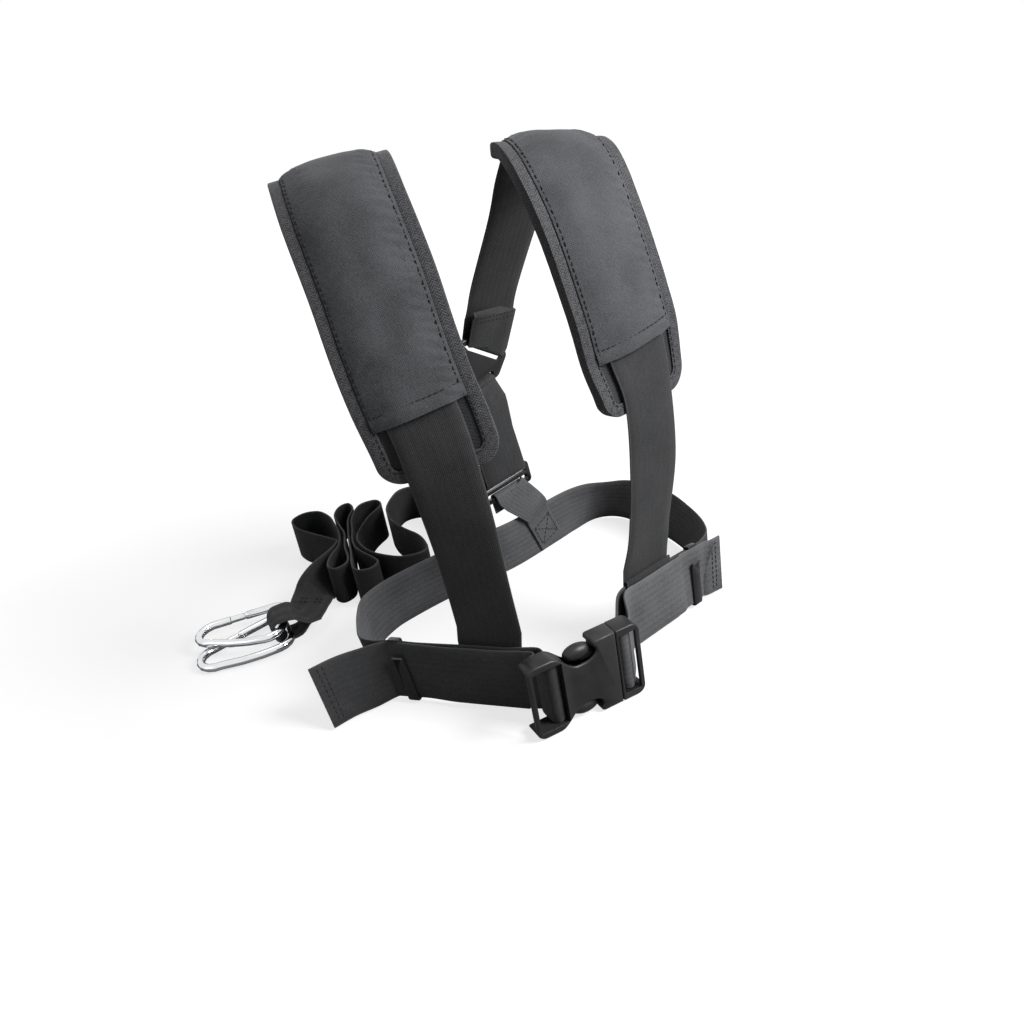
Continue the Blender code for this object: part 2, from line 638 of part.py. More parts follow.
def strap_run(rows, loop_s, side):
    smooth = curve_through(sized(rows), STRAP_STEPS)
    free = []
    for r in smooth:
        yaw, tilt = r[3] * RIGHT_ANGLE, r[4] * RIGHT_ANGLE
        across = Vector((math.cos(yaw) * math.cos(tilt), math.sin(yaw) * math.cos(tilt), math.sin(tilt)))
        free.append((Vector(r[:3]), across))
    bar, along, upward = slot_frame(side)
    run = loop_on_belt(loop_s, -1) + free
    run += turn_round_bar(bar, along, upward, -yoke_face, YOKE_TURN, YOKE_RETURN, YOKE_TURN * 0.75)
    return Route([q for q, w in run], [w for q, w in run]), len(loop_on_belt(loop_s, -1))


strap_left, left_start = strap_run(STRAP_LEFT_ROUTE_SHARES, left_loop_s, -1)
strap_right, right_start = strap_run(STRAP_RIGHT_ROUTE_SHARES, right_loop_s, 1)
strip("shoulder_strap_left", strap_left, webbing, middle=True)
strip("shoulder_strap_right", strap_right, webbing, middle=True)
print("shoulder straps", round(strap_left.length(), 4), round(strap_right.length(), 4))


# Pads, made flat along the strap: s along, x across, h outwards from the strap's middle

BINDING_THICKNESS = 0.0008
BINDING_LEG = 0.0105
PAD_CORNER = 0.016
BINDING_GAP = 0.0006
LINING_TOP = -(WEBBING_THICKNESS / 2 + LAYER_GAP + BINDING_THICKNESS + TOUCH_GAP + BINDING_GAP)
LINING_THICKNESS = 0.0065
COVER_HALF = 0.0335
COVER_THICKNESS = 0.0018
COVER_CROWN = 0.0014
CORNER_STEPS = 5
PAD_START_ROW_LEFT = 4
PAD_START_ROW_RIGHT = 3
PAD_LEFT_END_ROW = 10.15
PAD_RIGHT_END_ROW = 9.75
PAD_LEFT_BACK = 0.026
PAD_RIGHT_BACK = 0.008
HEM_INSET_LEFT = 0.044
HEM_INSET_RIGHT = 0.044
COVER_REAR_INSET = 0.012


def pad_outline(route, start, end, half, corner):
    """Half-width stations of a pad with round corners: (s, half width)"""
    near = {corner * (1 - math.sin(RIGHT_ANGLE * k / CORNER_STEPS)) for k in range(CORNER_STEPS + 1)}
    rows = []
    for first, towards in ((start, 1), (end, -1)):
        reach = set(near)
        if towards == -1:
            own = [end - s for s in between(route, end - corner, end)]
            reach |= {d for d in own if min(abs(d - v) for v in near) > LAYER_GAP}
        for v in reach:
            round_half = math.sqrt(max(corner ** 2 - (corner - v) ** 2, 0))
            rows.append((first + towards * v, half - corner + round_half))
    rows += [(s, half) for s in between(route, start + corner, end - corner)]
    return sorted(rows)


def between(route, start, end):
    """The route's own stations between two distances, so that the pad's layers bend with the strap"""
    return [s for s in route.s if start + TOUCH_GAP < s < end - TOUCH_GAP]


def pad(label, route, first_point, start_row, start_back, end_row, hem_inset):
    start_index = first_point + start_row * STRAP_STEPS
    start = route.s[start_index] - start_back
    whole = int(end_row)
    end_index = first_point + whole * STRAP_STEPS
    end = route.s[end_index] + (end_row - whole) * (route.s[end_index + STRAP_STEPS] - route.s[end_index])
    half = PAD_WIDTH / 2

    lining_half = half - BINDING_THICKNESS - TOUCH_GAP
    lining_bottom = LINING_TOP - LINING_THICKNESS
    soft = LINING_THICKNESS * 0.3
    rings = []
    inset = BINDING_THICKNESS + TOUCH_GAP
    for s, w in pad_outline(route, start + inset, end - inset, lining_half, PAD_CORNER - inset):
        rings.append([route.put(s, x, h) for x, h in (
            (-w, lining_bottom + soft), (-w + soft, lining_bottom), (-w + BINDING_LEG, lining_bottom),
            (0, lining_bottom), (w - BINDING_LEG, lining_bottom), (w - soft, lining_bottom),
            (w, lining_bottom + soft), (w, LINING_TOP - soft / 2), (w - soft / 2, LINING_TOP),
            (w - BINDING_LEG, LINING_TOP), (0, LINING_TOP), (-w + BINDING_LEG, LINING_TOP),
            (-w + soft / 2, LINING_TOP), (-w, LINING_TOP - soft / 2))])
    sweep("pad_lining_" + label, rings, lining_cloth)

    # The binding is a channel folded round the lining's edge, all the way round
    top = LINING_TOP + BINDING_GAP
    bottom = lining_bottom - BINDING_GAP
    t = BINDING_THICKNESS
    channel = [
        (-BINDING_LEG, top + t), (-t, top + t), (0, top), (0, bottom), (-t, bottom - t),
        (-BINDING_LEG, bottom - t), (-BINDING_LEG, bottom), (-t, bottom), (-t, top), (-BINDING_LEG, top)]
    border = []
    side = pad_outline(route, start, end, half, PAD_CORNER)
    corner_near, corner_far = start + PAD_CORNER, end - PAD_CORNER
    for s, w in side:
        border.append((s, w))
    for s, w in reversed(side):
        border.append((s, -w))
    rings = []
    for s, w in border:
        if s < corner_near:
            hub = (corner_near, math.copysign(half - PAD_CORNER, w))
        elif s > corner_far:
            hub = (corner_far, math.copysign(half - PAD_CORNER, w))
        else:
            hub = (s, 0)
        away = Vector((s - hub[0], w - hub[1]))
        away.normalize()
        rings.append([route.put(s + away.x * o, w + away.y * o, h) for o, h in channel])
    sweep("pad_binding_" + label, rings, binding_tape, closed=True)

    # The cover is a sleeve: low along its seams, crowned over the strap
    base = top + t + TOUCH_GAP
    raised = WEBBING_THICKNESS / 2 + LAYER_GAP
    inner = WEBBING_WIDTH / 2 + 2 * LAYER_GAP
    outer = COVER_HALF
    lift = inner + (raised - base)
    low = [(-outer, base), (-lift, base), (-inner, raised), (0, raised),
           (inner, raised), (lift, base), (outer, base)]
    high = [
        (outer, base + COVER_THICKNESS * 0.5), (outer - COVER_THICKNESS, base + COVER_THICKNESS),
        (inner, raised + COVER_THICKNESS), (inner * 0.5, raised + COVER_THICKNESS + COVER_CROWN * 0.75),
        (0, raised + COVER_THICKNESS + COVER_CROWN),
        (-inner * 0.5, raised + COVER_THICKNESS + COVER_CROWN * 0.75),
        (-inner, raised + COVER_THICKNESS), (-outer + COVER_THICKNESS, base + COVER_THICKNESS),
        (-outer, base + COVER_THICKNESS * 0.5)]
    cover_start = start + hem_inset
    cover_end = end - COVER_REAR_INSET
    rings = []
    for s in [cover_start] + between(route, cover_start, cover_end) + [cover_end]:
        rings.append([route.put(s, x, h) for x, h in low + high])
    sweep("pad_cover_" + label, rings, cover_cloth)
    print("pad", label, "length", round(end - start, 4), "from", round(start, 4), "to", round(end, 4))


pad("left", strap_left, left_start, PAD_START_ROW_LEFT, PAD_LEFT_BACK, PAD_LEFT_END_ROW, HEM_INSET_LEFT)
pad("right", strap_right, right_start, PAD_START_ROW_RIGHT, PAD_RIGHT_BACK, PAD_RIGHT_END_ROW,
    HEM_INSET_RIGHT)


# Yoke: a rounded triangular plate with a slot for each strap

YOKE_THICKNESS = 0.0040
SLOT_SIDE_CLEARANCE = 0.0010
YOKE_APEX_ROUND = 0.0120
YOKE_ROUND = 0.0060
SLOT_LENGTH = WEBBING_WIDTH + 2 * SLOT_SIDE_CLEARANCE
SLOT_HEIGHT = 0.0062
YOKE_RIM = 0.0060
YOKE_BEVEL = 0.0009


def flat_plate(name, outline, thickness, bevel, mat):
    bm = bmesh.new()
    ring = [bm.verts.new((x, y, -thickness / 2)) for x, y in outline]
    for a, b in zip(ring, ring[1:] + ring[:1]):
        bm.edges.new((a, b))
    bmesh.ops.contextual_create(bm, geom=ring_edges(ring))
    grown = bmesh.ops.extrude_face_region(bm, geom=list(bm.faces))["geom"]
    lifted = [g for g in grown if isinstance(g, bmesh.types.BMVert)]
    bmesh.ops.translate(bm, verts=lifted, vec=(0, 0, thickness))
    bmesh.ops.recalc_face_normals(bm, faces=bm.faces)
    rims = [e for e in bm.edges if abs(e.verts[0].co.z - e.verts[1].co.z) < thickness / 2]
    bmesh.ops.bevel(bm, geom=rims, offset=bevel, segments=2, profile=0.5, affect="EDGES")
    return finish(name, bm, mat)


def rounded_outline(corners, steps=6):
    """Corners of (x, y, radius) joined by straight sides and round corners"""
    out = []
    count = len(corners)
    for i in range(count):
        x, y, r = corners[i]
        here = Vector((x, y))
        before = Vector(corners[i - 1][:2]) - here
        after = Vector(corners[(i + 1) % count][:2]) - here
        a, b = before.normalized(), after.normalized()
        half = a.angle(b) / 2
        reach = r / math.tan(half)
        hub = here + (a + b).normalized() * (r / math.sin(half))
        p, q = here + a * reach - hub, here + b * reach - hub
        turn = p.angle_signed(q)
        for k in range(steps + 1):
            out.append(hub + Matrix.Rotation(-turn * k / steps, 2) @ p)
    return [(v.x, v.y) for v in out]


def slot_cutter(name, centre, angle, length, height, depth):
    bm = rounded_box((length, height, depth), min(height, depth) * 0.3, steps=2)
    bmesh.ops.rotate(bm, verts=bm.verts, matrix=Matrix.Rotation(angle, 3, "Z"), cent=(0, 0, 0))
    bmesh.ops.translate(bm, verts=bm.verts, vec=(*centre, 0))
    return cutter(name, bm)


slope_along = Vector((math.cos(YOKE_SLOT_SLOPE), -math.sin(YOKE_SLOT_SLOPE)))
slope_up = Vector((math.sin(YOKE_SLOT_SLOPE), math.cos(YOKE_SLOT_SLOPE)))
upper_bar = Vector((UPPER_BAR_OUT, UPPER_BAR_UP))
SLOT_OFFSET = YOKE_BAR_RADIUS + SLOT_HEIGHT / 2
slot_centre = upper_bar - slope_up * SLOT_OFFSET
outer_edge = upper_bar + slope_up * YOKE_BAR_RADIUS
reach_end = SLOT_LENGTH / 2 + YOKE_RIM
right_low = outer_edge + slope_along * reach_end
apex_y = outer_edge.y + outer_edge.x * math.tan(YOKE_SLOT_SLOPE)
bottom_y = -LOWER_BAR_DOWN - YOKE_BAR_RADIUS
bottom_x = SLOT_LENGTH / 2 + YOKE_RIM
corners = [
    (0, apex_y, YOKE_APEX_ROUND), (-right_low.x, right_low.y, YOKE_ROUND), (-bottom_x, bottom_y, YOKE_ROUND),
    (bottom_x, bottom_y, YOKE_ROUND), (right_low.x, right_low.y, YOKE_ROUND)]
yoke = flat_plate("back_yoke", rounded_outline(corners), YOKE_THICKNESS, YOKE_BEVEL, gloss_black)
for label, flip in (("slot_right", 1), ("slot_left", -1)):
    tool = slot_cutter(label, (slot_centre.x * flip, slot_centre.y), -YOKE_SLOT_SLOPE * flip, SLOT_LENGTH,
                       SLOT_HEIGHT, YOKE_THICKNESS * 3)
    boolean(yoke, tool, "DIFFERENCE")
lower_slot_y = -LOWER_BAR_DOWN + SLOT_OFFSET
boolean(yoke, slot_cutter("slot_lower", (0, lower_slot_y), 0, SLOT_LENGTH, SLOT_HEIGHT, YOKE_THICKNESS * 3),
        "DIFFERENCE")
settle(yoke, YOKE_FRAME)


# Back strap and its slider

SLIDER_PLACE_SHARES = (-0.0025, 0.2575, 0.1525)
BELT_HALF = WEBBING_WIDTH / 2
SLIDER_YAW = math.radians(42)
SLIDER_LEAN = math.radians(8)
SLIDER_WIDTH = 0.062
SLIDER_BAR_GAP = 0.0030
SLIDER_THICKNESS = 0.0042
SLIDER_BAR = 0.0080
SLIDER_TURN = SLIDER_THICKNESS / 2 * math.sqrt(2) + TOUCH_GAP + WEBBING_THICKNESS / 2
SLIDER_HEIGHT = 2 * SLIDER_BAR + SLIDER_THICKNESS
STRAP_RETURN = 0.018
TAB_ON_BELT_SHARES = (0.56, 0.46, 0.3, 0.0, -0.2, -0.37)
TAB_SLANT = -0.20
TAB_TURN = 0.2
TAB_LIFT = 0.012

slider_side = Vector((math.cos(SLIDER_YAW), math.sin(SLIDER_YAW), 0))
slider_front = Vector((math.sin(SLIDER_YAW), -math.cos(SLIDER_YAW), 0))
slider_up = (up_axis * math.cos(SLIDER_LEAN) - slider_front * math.sin(SLIDER_LEAN)).normalized()
slider_face = slider_side.cross(slider_up).normalized()
slider_centre = Vector(SLIDER_PLACE_SHARES) * HARNESS_HEIGHT + up_axis * BELT_HALF
SLIDER_FRAME = (Matrix.Translation(slider_centre)
                @ Matrix((slider_side, slider_up, slider_face)).transposed().to_4x4())


def soft_rows(rows, steps):
    out = []
    for r in curve_through(sized(rows), steps):
        yaw, tilt = r[3] * RIGHT_ANGLE, r[4] * RIGHT_ANGLE
        out.append((Vector(r[:3]),
                    Vector((math.cos(yaw) * math.cos(tilt), math.sin(yaw) * math.cos(tilt), math.sin(tilt)))))
    return out


lower_bar = yoke_centre - yoke_up * LOWER_BAR_DOWN
slider_top = slider_centre + slider_up * SLIDER_BAR
slider_bottom = slider_centre - slider_up * SLIDER_BAR
yoke_end = turn_round_bar(lower_bar, yoke_side, -yoke_up, yoke_face, YOKE_TURN, YOKE_RETURN, YOKE_TURN * 0.75)
slider_end = turn_round_bar(slider_top, slider_side, slider_up, slider_face, SLIDER_TURN, STRAP_RETURN,
                            SLIDER_TURN * 0.75)
run = list(reversed(yoke_end)) + soft_rows(BACK_STRAP_ROUTE_SHARES, STRAP_STEPS) + slider_end
back = Route([q for q, w in run], [w for q, w in run])
strip("back_strap", back, webbing)
print("back_strap length", round(back.length(), 4))

tab_end = turn_round_bar(slider_bottom, slider_side, -slider_up, slider_face, SLIDER_TURN, STRAP_RETURN * 0.8,
                         SLIDER_TURN * 0.75)
run = list(reversed(tab_end))
run += [(q + up_axis * BELT_HALF, w) for q, w in soft_rows(BACK_TAB_ROUTE_SHARES, STRAP_STEPS)]
for up_share in TAB_ON_BELT_SHARES:
    p, t, w, n = main.at(tab_s + TAB_SLANT * up_share * WEBBING_WIDTH)
    rise = up_share * WEBBING_WIDTH
    clear = LOOP_OFFSET + 2 * TOUCH_GAP + max(up_share - 0.4, 0) * TAB_LIFT
    run.append((p + w * rise - n * clear, t - w * TAB_TURN))
tab = Route([q for q, w in run], [w for q, w in run])
strip("back_tab", tab, webbing)
print("back_tab length", round(tab.length(), 4))

SLIDER_CORNER = 0.004
half_x, half_y = SLIDER_WIDTH / 2, SLIDER_HEIGHT / 2
slider = flat_plate(
    "back_slider",
    rounded_outline([(half_x, half_y, SLIDER_CORNER), (-half_x, half_y, SLIDER_CORNER),
                     (-half_x, -half_y, SLIDER_CORNER), (half_x, -half_y, SLIDER_CORNER)]),
    SLIDER_THICKNESS, YOKE_BEVEL, gloss_black)
bar_half = SLIDER_THICKNESS / 2
opening = SLIDER_BAR - bar_half
gap_height = opening - SLIDER_BAR_GAP / 2
for label, flip in (("gap_upper", 1), ("gap_lower", -1)):
    tool = slot_cutter(label, (0, flip * (opening - gap_height / 2)), 0, SLOT_LENGTH, gap_height,
                       SLIDER_THICKNESS * 3)
    boolean(slider, tool, "DIFFERENCE")
settle(slider, SLIDER_FRAME)


# Keepers: open clips round the belt and its tail

KEEPER_WIDTH = 0.009
KEEPER_THICKNESS = 0.0018
KEEPER_TILT_SHARES = {"left": 0.14, "right": 0.0}
KEEPER_RISE = 0.013
KEEPER_SECTION_SHARES = (
    (-1, -0.6), (-0.85, -1), (0.85, -1), (1, -0.6), (1, 0.6), (0.85, 1), (-0.85, 1), (-1, 0.6))


def keeper(label, s, tail_offset):
    p, t, w, n = main.at(s)
    half = WEBBING_WIDTH / 2
    gap = KEEPER_THICKNESS / 2 + LAYER_GAP
    rear = -(WEBBING_THICKNESS / 2 + gap)
    front = tail_offset + WEBBING_THICKNESS / 2 + gap
    top, low = half + gap, -half - gap
    r = gap
    path = [(front * 0.75, top + gap * 0.3), (0, top + gap * 0.3)]
    turn = [RIGHT_ANGLE * k / 3 for k in range(4)]
    path += [(rear + r * (1 - math.sin(a)), top - r * (1 - math.cos(a))) for a in turn]
    path += [(rear, 0)]
    path += [(rear + r * (1 - math.cos(a)), low + r * (1 - math.sin(a))) for a in turn]
    path += [(front - r * (1 - math.sin(a)), low + r * (1 - math.cos(a))) for a in turn]
    path += [(front, 0), (front + gap * 0.3, KEEPER_RISE - gap), (front + gap * 1.6, KEEPER_RISE)]
    clean = [path[0]]
    for q in path[1:]:
        if math.dist(q, clean[-1]) > TOUCH_GAP:
            clean.append(q)
    rings = []
    for i, (o, v) in enumerate(clean):
        a = Vector(clean[max(i - 1, 0)])
        b = Vector(clean[min(i + 1, len(clean) - 1)])
        d = (b - a).normalized()
        side = Vector((-d.y, d.x))
        h = KEEPER_THICKNESS / 2
        lean = KEEPER_TILT_SHARES[label] * v
        ring = []
        for x, y in KEEPER_SECTION_SHARES:
            out, height = o + side.x * y * h, v + side.y * y * h
            ring.append(p + t * (x * KEEPER_WIDTH / 2 + lean) + n * out + w * height)
        rings.append(ring)
    sweep("tail_keeper_" + label, rings, gloss_black)


keeper("left", left_keeper_s, TAIL_AT_KEEPER)
keeper("right", right_keeper_s, TAIL_AT_KEEPER)


# Buckle

SLOT_HALF = WEBBING_WIDTH / 2 + RAIL_CLEARANCE
FRAME_CORNER = 0.0070
FLANGE_CORNER = 0.0012
BODY_BEVEL = 0.0013
BAR_BEVEL = 0.0010
EDGE_ROUND = 0.0008
JOIN = 0.0015
WALL = 0.0020
HEAD_PLACE_SHARE = 0.3667
HEAD_LENGTH_SHARE = 0.5111
HEAD_CENTRE_X = BODY_START_X + BODY_LENGTH * HEAD_PLACE_SHARE
HEAD_LENGTH = BODY_LENGTH * HEAD_LENGTH_SHARE
HEAD_HEIGHT = 0.0120
HEAD_DEPTH = 0.0118
HEAD_INSET = 0.0014
HEAD_GAP = 0.0009
HEAD_CENTRE_Z = BUCKLE_HEIGHT / 2 - HEAD_INSET - HEAD_HEIGHT / 2
SCOOP_REACH = 0.0080
SCOOP_START_X = BODY_START_X - SCOOP_REACH
SHOULDER_RISE = 0.0030
SHOULDER_RUN = 0.0022
ARM_HEIGHT = 0.0036
ARM_DEPTH = 0.0080
ARM_Z = HEAD_CENTRE_Z - HEAD_HEIGHT / 2 + ARM_HEIGHT / 2
ARM_ROOT_X = BODY_END_X + SEAM - LAYER_GAP
CAVITY_HALF = ARM_Z + ARM_HEIGHT / 2 + WALL
STUB_LENGTH = 0.0040
STUB_DROP = 0.0016
TONGUE_HALF = 0.0060
TONGUE_REACH = 0.0030
OVERRUN = 0.0040

half_l, half_t, half_h = BUCKLE_LENGTH / 2, BUCKLE_THICKNESS / 2, BUCKLE_HEIGHT / 2


def slab(x0, x1, y0, y1, z0, z1, radius=EDGE_ROUND):
    size = (x1 - x0, y1 - y0, z1 - z0)
    centre = ((x0 + x1) / 2, (y0 + y1) / 2, (z0 + z1) / 2)
    return rounded_box(size, min(radius, min(size) * 0.3), centre)


def standing_plate(name, outline, bevel):
    """A plate of (x, z) points as thick as the buckle, standing on its edge"""
    made = flat_plate(name, outline, BUCKLE_THICKNESS, bevel, buckle_plastic)
    made.data.transform(Matrix.Rotation(RIGHT_ANGLE, 4, "X"))
    return made


def female_outline():
    """Round frame, then on each side the scoop that bares the head, and the shoulder beyond it"""
    top = []
    for k in range(7):
        a = math.pi - RIGHT_ANGLE * k / 6
        top.append((-half_l + FRAME_CORNER * (1 + math.cos(a)), half_h - FRAME_CORNER * (1 - math.sin(a))))
    reach_x, reach_z = HEAD_LENGTH / 2 + HEAD_GAP, HEAD_HEIGHT / 2 + HEAD_GAP
    low = HEAD_CENTRE_Z - reach_z
    bottom_x = HEAD_CENTRE_X - reach_x / 4
    for k in range(9):
        f = k / 8
        drop = (1 + math.cos(math.pi * f)) / 2
        top.append((SCOOP_START_X + (bottom_x - SCOOP_START_X) * f, low + (half_h - low) * drop))
    for k in range(1, 9):
        a = -RIGHT_ANGLE + math.radians(125) * k / 8
        top.append((HEAD_CENTRE_X + math.cos(a) * reach_x, HEAD_CENTRE_Z + math.sin(a) * reach_z))
    x, z = top[-1]
    top.append((x + SHOULDER_RUN / 4, half_h - SHOULDER_RISE / 4))
    top += [(x + SHOULDER_RUN, half_h), (BODY_END_X, half_h)]
    return top + [(x, -z) for x, z in reversed(top)]


def cut_webbing_slot(target, x0, x1, bar_x0, bar_x1):
    """The webbing's slot; the outer bar is thin, so that the webbing leaves inwards behind it"""
    front = -half_t - OVERRUN
    for label, y0, low, high in (("slot", front, x0, x1), ("back", -half_t + OUTER_BAR, bar_x0, bar_x1)):
        tool = slab(low, high, y0, half_t + OVERRUN, -SLOT_HALF, SLOT_HALF)
        boolean(target, cutter(label, tool), "DIFFERENCE")


def add(target, name, bm):
    boolean(target, cutter(name, bm), "UNION")


female = standing_plate("buckle_female", female_outline(), BODY_BEVEL)
cut_webbing_slot(female, -half_l + OUTER_BAR, BODY_START_X, -half_l - OVERRUN, -half_l + OUTER_BAR + JOIN)
tool = slab(BODY_START_X + WALL, BODY_END_X + OVERRUN, -half_t + WALL, half_t - WALL,
            -CAVITY_HALF, CAVITY_HALF, BAR_BEVEL)
boolean(female, cutter("cavity", tool), "DIFFERENCE")
bar_length = 2 * SLOT_HALF + 2 * JOIN
add(female, "female_bar", cylinder(BAR_RADIUS, bar_length, (0, 0, 1), (FEMALE_BAR_X, 0, 0), 20))
settle(female, PLACE)

male_x = BODY_END_X + SEAM
male = standing_plate("buckle_male", rounded_outline([
    (half_l, half_h, FRAME_CORNER), (male_x, half_h, FLANGE_CORNER), (male_x, -half_h, FLANGE_CORNER),
    (half_l, -half_h, FRAME_CORNER)]), BAR_BEVEL)
cut_webbing_slot(male, male_x + FLANGE, half_l - OUTER_BAR, half_l - OUTER_BAR - JOIN, half_l + OVERRUN)
add(male, "male_bar", cylinder(BAR_RADIUS, bar_length, (0, 0, 1), (MALE_BAR_X, 0, 0), 20))
stub_half = ARM_Z - ARM_HEIGHT / 2 - STUB_DROP
stub_depth = half_t - WALL - LAYER_GAP
add(male, "stub", slab(BODY_END_X - STUB_LENGTH, male_x + FLANGE / 2, -stub_depth, stub_depth,
                       -stub_half, stub_half))
tongue_tip = BODY_START_X + WALL + TONGUE_REACH
add(male, "tongue", slab(tongue_tip, BODY_END_X - STUB_LENGTH / 2, -stub_depth / 2, stub_depth / 2,
                         -TONGUE_HALF, TONGUE_HALF, JOIN))
settle(male, PLACE)


def prong(label, flip):
    """A sprung arm whose oval head is the release button; its origin is the root it flexes about"""
    root = Vector((ARM_ROOT_X, 0, flip * ARM_Z))
    arm = slab(HEAD_CENTRE_X, root.x, -ARM_DEPTH / 2, ARM_DEPTH / 2, flip * ARM_Z - ARM_HEIGHT / 2,
               flip * ARM_Z + ARM_HEIGHT / 2)
    head = bmesh.new()
    bmesh.ops.create_uvsphere(head, u_segments=20, v_segments=10, radius=1)
    bmesh.ops.rotate(head, verts=head.verts, matrix=Matrix.Rotation(RIGHT_ANGLE, 3, "X"), cent=(0, 0, 0))
    bmesh.ops.scale(head, vec=(HEAD_LENGTH / 2, HEAD_DEPTH / 2, HEAD_HEIGHT / 2), verts=head.verts)
    bmesh.ops.translate(head, verts=head.verts, vec=(HEAD_CENTRE_X, 0, flip * HEAD_CENTRE_Z))
    made = finish("buckle_prong_" + label, arm, buckle_plastic)
    add(made, "head", head)
    settle(made, PLACE, PLACE @ root)
    JOINT_PLACES.append(("prong_" + label, PLACE @ root, m_axis * -flip))


prong("upper", 1)
prong("lower", -1)


# Pull strap: one strip on its edge, folded into loops, then its eye round both hooks

ROD_RADIUS = 0.0036
EYE_HEADING = math.radians(200)
EYE_SIDE = heading(EYE_HEADING - RIGHT_ANGLE)
EYE_AHEAD = heading(EYE_HEADING)
EYE_PLACE_SHARES = (-0.5435, 0.1420)
SELF_SKIP = 0.0120
APEX_AHEAD = 0.0005
APEX_ASIDE = 0.0015
EYE_INNER = 0.0200
EYE_LENGTH = 0.0180
EYE_RETURN = 0.012
EYE_FOLD_AHEAD = 0.0062
NECK_TAPER_SHARE = 0.85
NECK_DROP = 0.0045

EYE_RADIUS = EYE_INNER / 2 + WEBBING_THICKNESS / 2
eye_middle = Vector((*(v * HARNESS_HEIGHT for v in EYE_PLACE_SHARES), EYE_RADIUS + WEBBING_THICKNESS / 2))
pull_rows = [[*r, 0, 0, 1] for r in PULL_ROUTE_SHARES] + [list(r) for r in PULL_RUN_ROUTE_SHARES]
pull_smooth = curve_through(sized(pull_rows), PULL_STEPS)
pull_run = [(Vector(r[:3]), Vector(r[3:])) for r in pull_smooth]
taper = [1.0] * len(pull_run)
neck = eye_middle - EYE_AHEAD * EYE_LENGTH + up_axis * EYE_RADIUS * 0.2
eye_taper = EYE_WIDTH / PULL_WIDTH
stadium = [(neck, NECK_TAPER_SHARE)]
for back_share, up_share in ((0.45, 0.86), (0.1, 1.0)):
    spot = eye_middle - EYE_AHEAD * EYE_LENGTH * back_share + up_axis * EYE_RADIUS * up_share
    stadium.append((spot, eye_taper))
for k in range(FOLD_STEPS + 1):
    a = math.pi * k / FOLD_STEPS
    ahead = EYE_FOLD_AHEAD + math.sin(a) * EYE_RADIUS * 0.7
    spot = eye_middle + EYE_AHEAD * ahead + up_axis * math.cos(a) * EYE_RADIUS
    stadium.append((spot, eye_taper))
stadium.append((eye_middle - EYE_AHEAD * EYE_LENGTH * 0.55 - up_axis * EYE_RADIUS, eye_taper))
stadium.append((neck - EYE_AHEAD * EYE_RETURN * 0.2 - up_axis * NECK_DROP, eye_taper))
stadium.append((neck - EYE_AHEAD * EYE_RETURN - up_axis * NECK_DROP, eye_taper))
pull_run += [(q, EYE_SIDE) for q, k in stadium]
taper += [k for q, k in stadium]
pull = Route([q for q, w in pull_run], [w for q, w in pull_run])
strip("pull_strap", pull, webbing, PULL_WIDTH, WEBBING_THICKNESS, taper)
print("pull_strap length", round(pull.length(), 4))

least = 1.0
for i in range(len(pull.p)):
    for j in range(i + 1, len(pull.p)):
        if pull.s[j] - pull.s[i] > SELF_SKIP:
            gap = (pull.p[i] - pull.p[j]).length - WEBBING_THICKNESS
            if gap < least:
                least, where = gap, (round(pull.s[i], 3), round(pull.s[j], 3))
print("pull_strap least distance to itself", round(least, 5), "at", where)


# Snap hooks: a bent rod, a sprung gate on a rivet

HOOK_LENGTH = 0.086
HOOK_WIDE = 0.052
HOOK_NARROW = 0.031
HOOK_CORNER = 0.0130
NOSE_BACK = 0.0100
SPINE_BOW = 0.0028
HINGE_BACK_SHARE = 0.47
GATE_RADIUS = 0.0030
RIVET_RADIUS = 0.0012
RIVET_PLAY = 0.00005
RIVET_BEVEL = 0.0002
GATE_GAP = 0.0004
NOSE_GAP = 0.0006
SLOT_WIDTH = 0.0032
SLOT_PLAY = 0.0003
SLOT_ROUND = 0.0004
TONGUE_WIDTH = 0.0046
TONGUE_BITE = 0.0025
ROD_SEGMENTS = 12


def hook_path():
    """The rod's middle line in the hook's own axes, from the gate's nose round to the gate's pivot"""
    wide, narrow, r = HOOK_WIDE / 2, HOOK_NARROW / 2, HOOK_CORNER
    length = HOOK_LENGTH - 2 * ROD_RADIUS
    end = length - narrow
    slope = (wide - narrow) / (end - r)
    points = [(end - NOSE_BACK, -narrow - slope * NOSE_BACK)]
    for k in range(9):
        a = -RIGHT_ANGLE + math.pi * k / 8
        points.append((end + math.cos(a) * narrow, math.sin(a) * narrow))
    for f in (0.35, 0.70):
        points.append((end + (r - end) * f, narrow + (wide - narrow) * f + SPINE_BOW * math.sin(math.pi * f)))
    for k in range(5):
        a = RIGHT_ANGLE + RIGHT_ANGLE * k / 4
        points.append((r + math.cos(a) * r, wide - r + math.sin(a) * r))
    for k in range(5):
        a = math.pi + RIGHT_ANGLE * k / 4
        points.append((r + math.cos(a) * r, -wide + r + math.sin(a) * r))
    hinge_x = length * HINGE_BACK_SHARE
    points.append((hinge_x, -wide + (wide - narrow) * (hinge_x - r) / (end - r)))
    return points


def rod(points, radius, flatten=None):
    """A round rod through flat points; flatten narrows it in the plane, ring by ring"""
    rings = []
    flat = [Vector((x, y, 0)) for x, y in points]
    for i, p in enumerate(flat):
        a, b = flat[max(i - 1, 0)], flat[min(i + 1, len(flat) - 1)]
        d = (b - a).normalized()
        side = Vector((-d.y, d.x, 0)) * (flatten[i] if flatten else 1)
        turns = [2 * math.pi * k / ROD_SEGMENTS for k in range(ROD_SEGMENTS)]
        rings.append([p + (side * math.cos(a) + up_axis * math.sin(a)) * radius for a in turns])
    return sweep("", rings, None, keep=True)


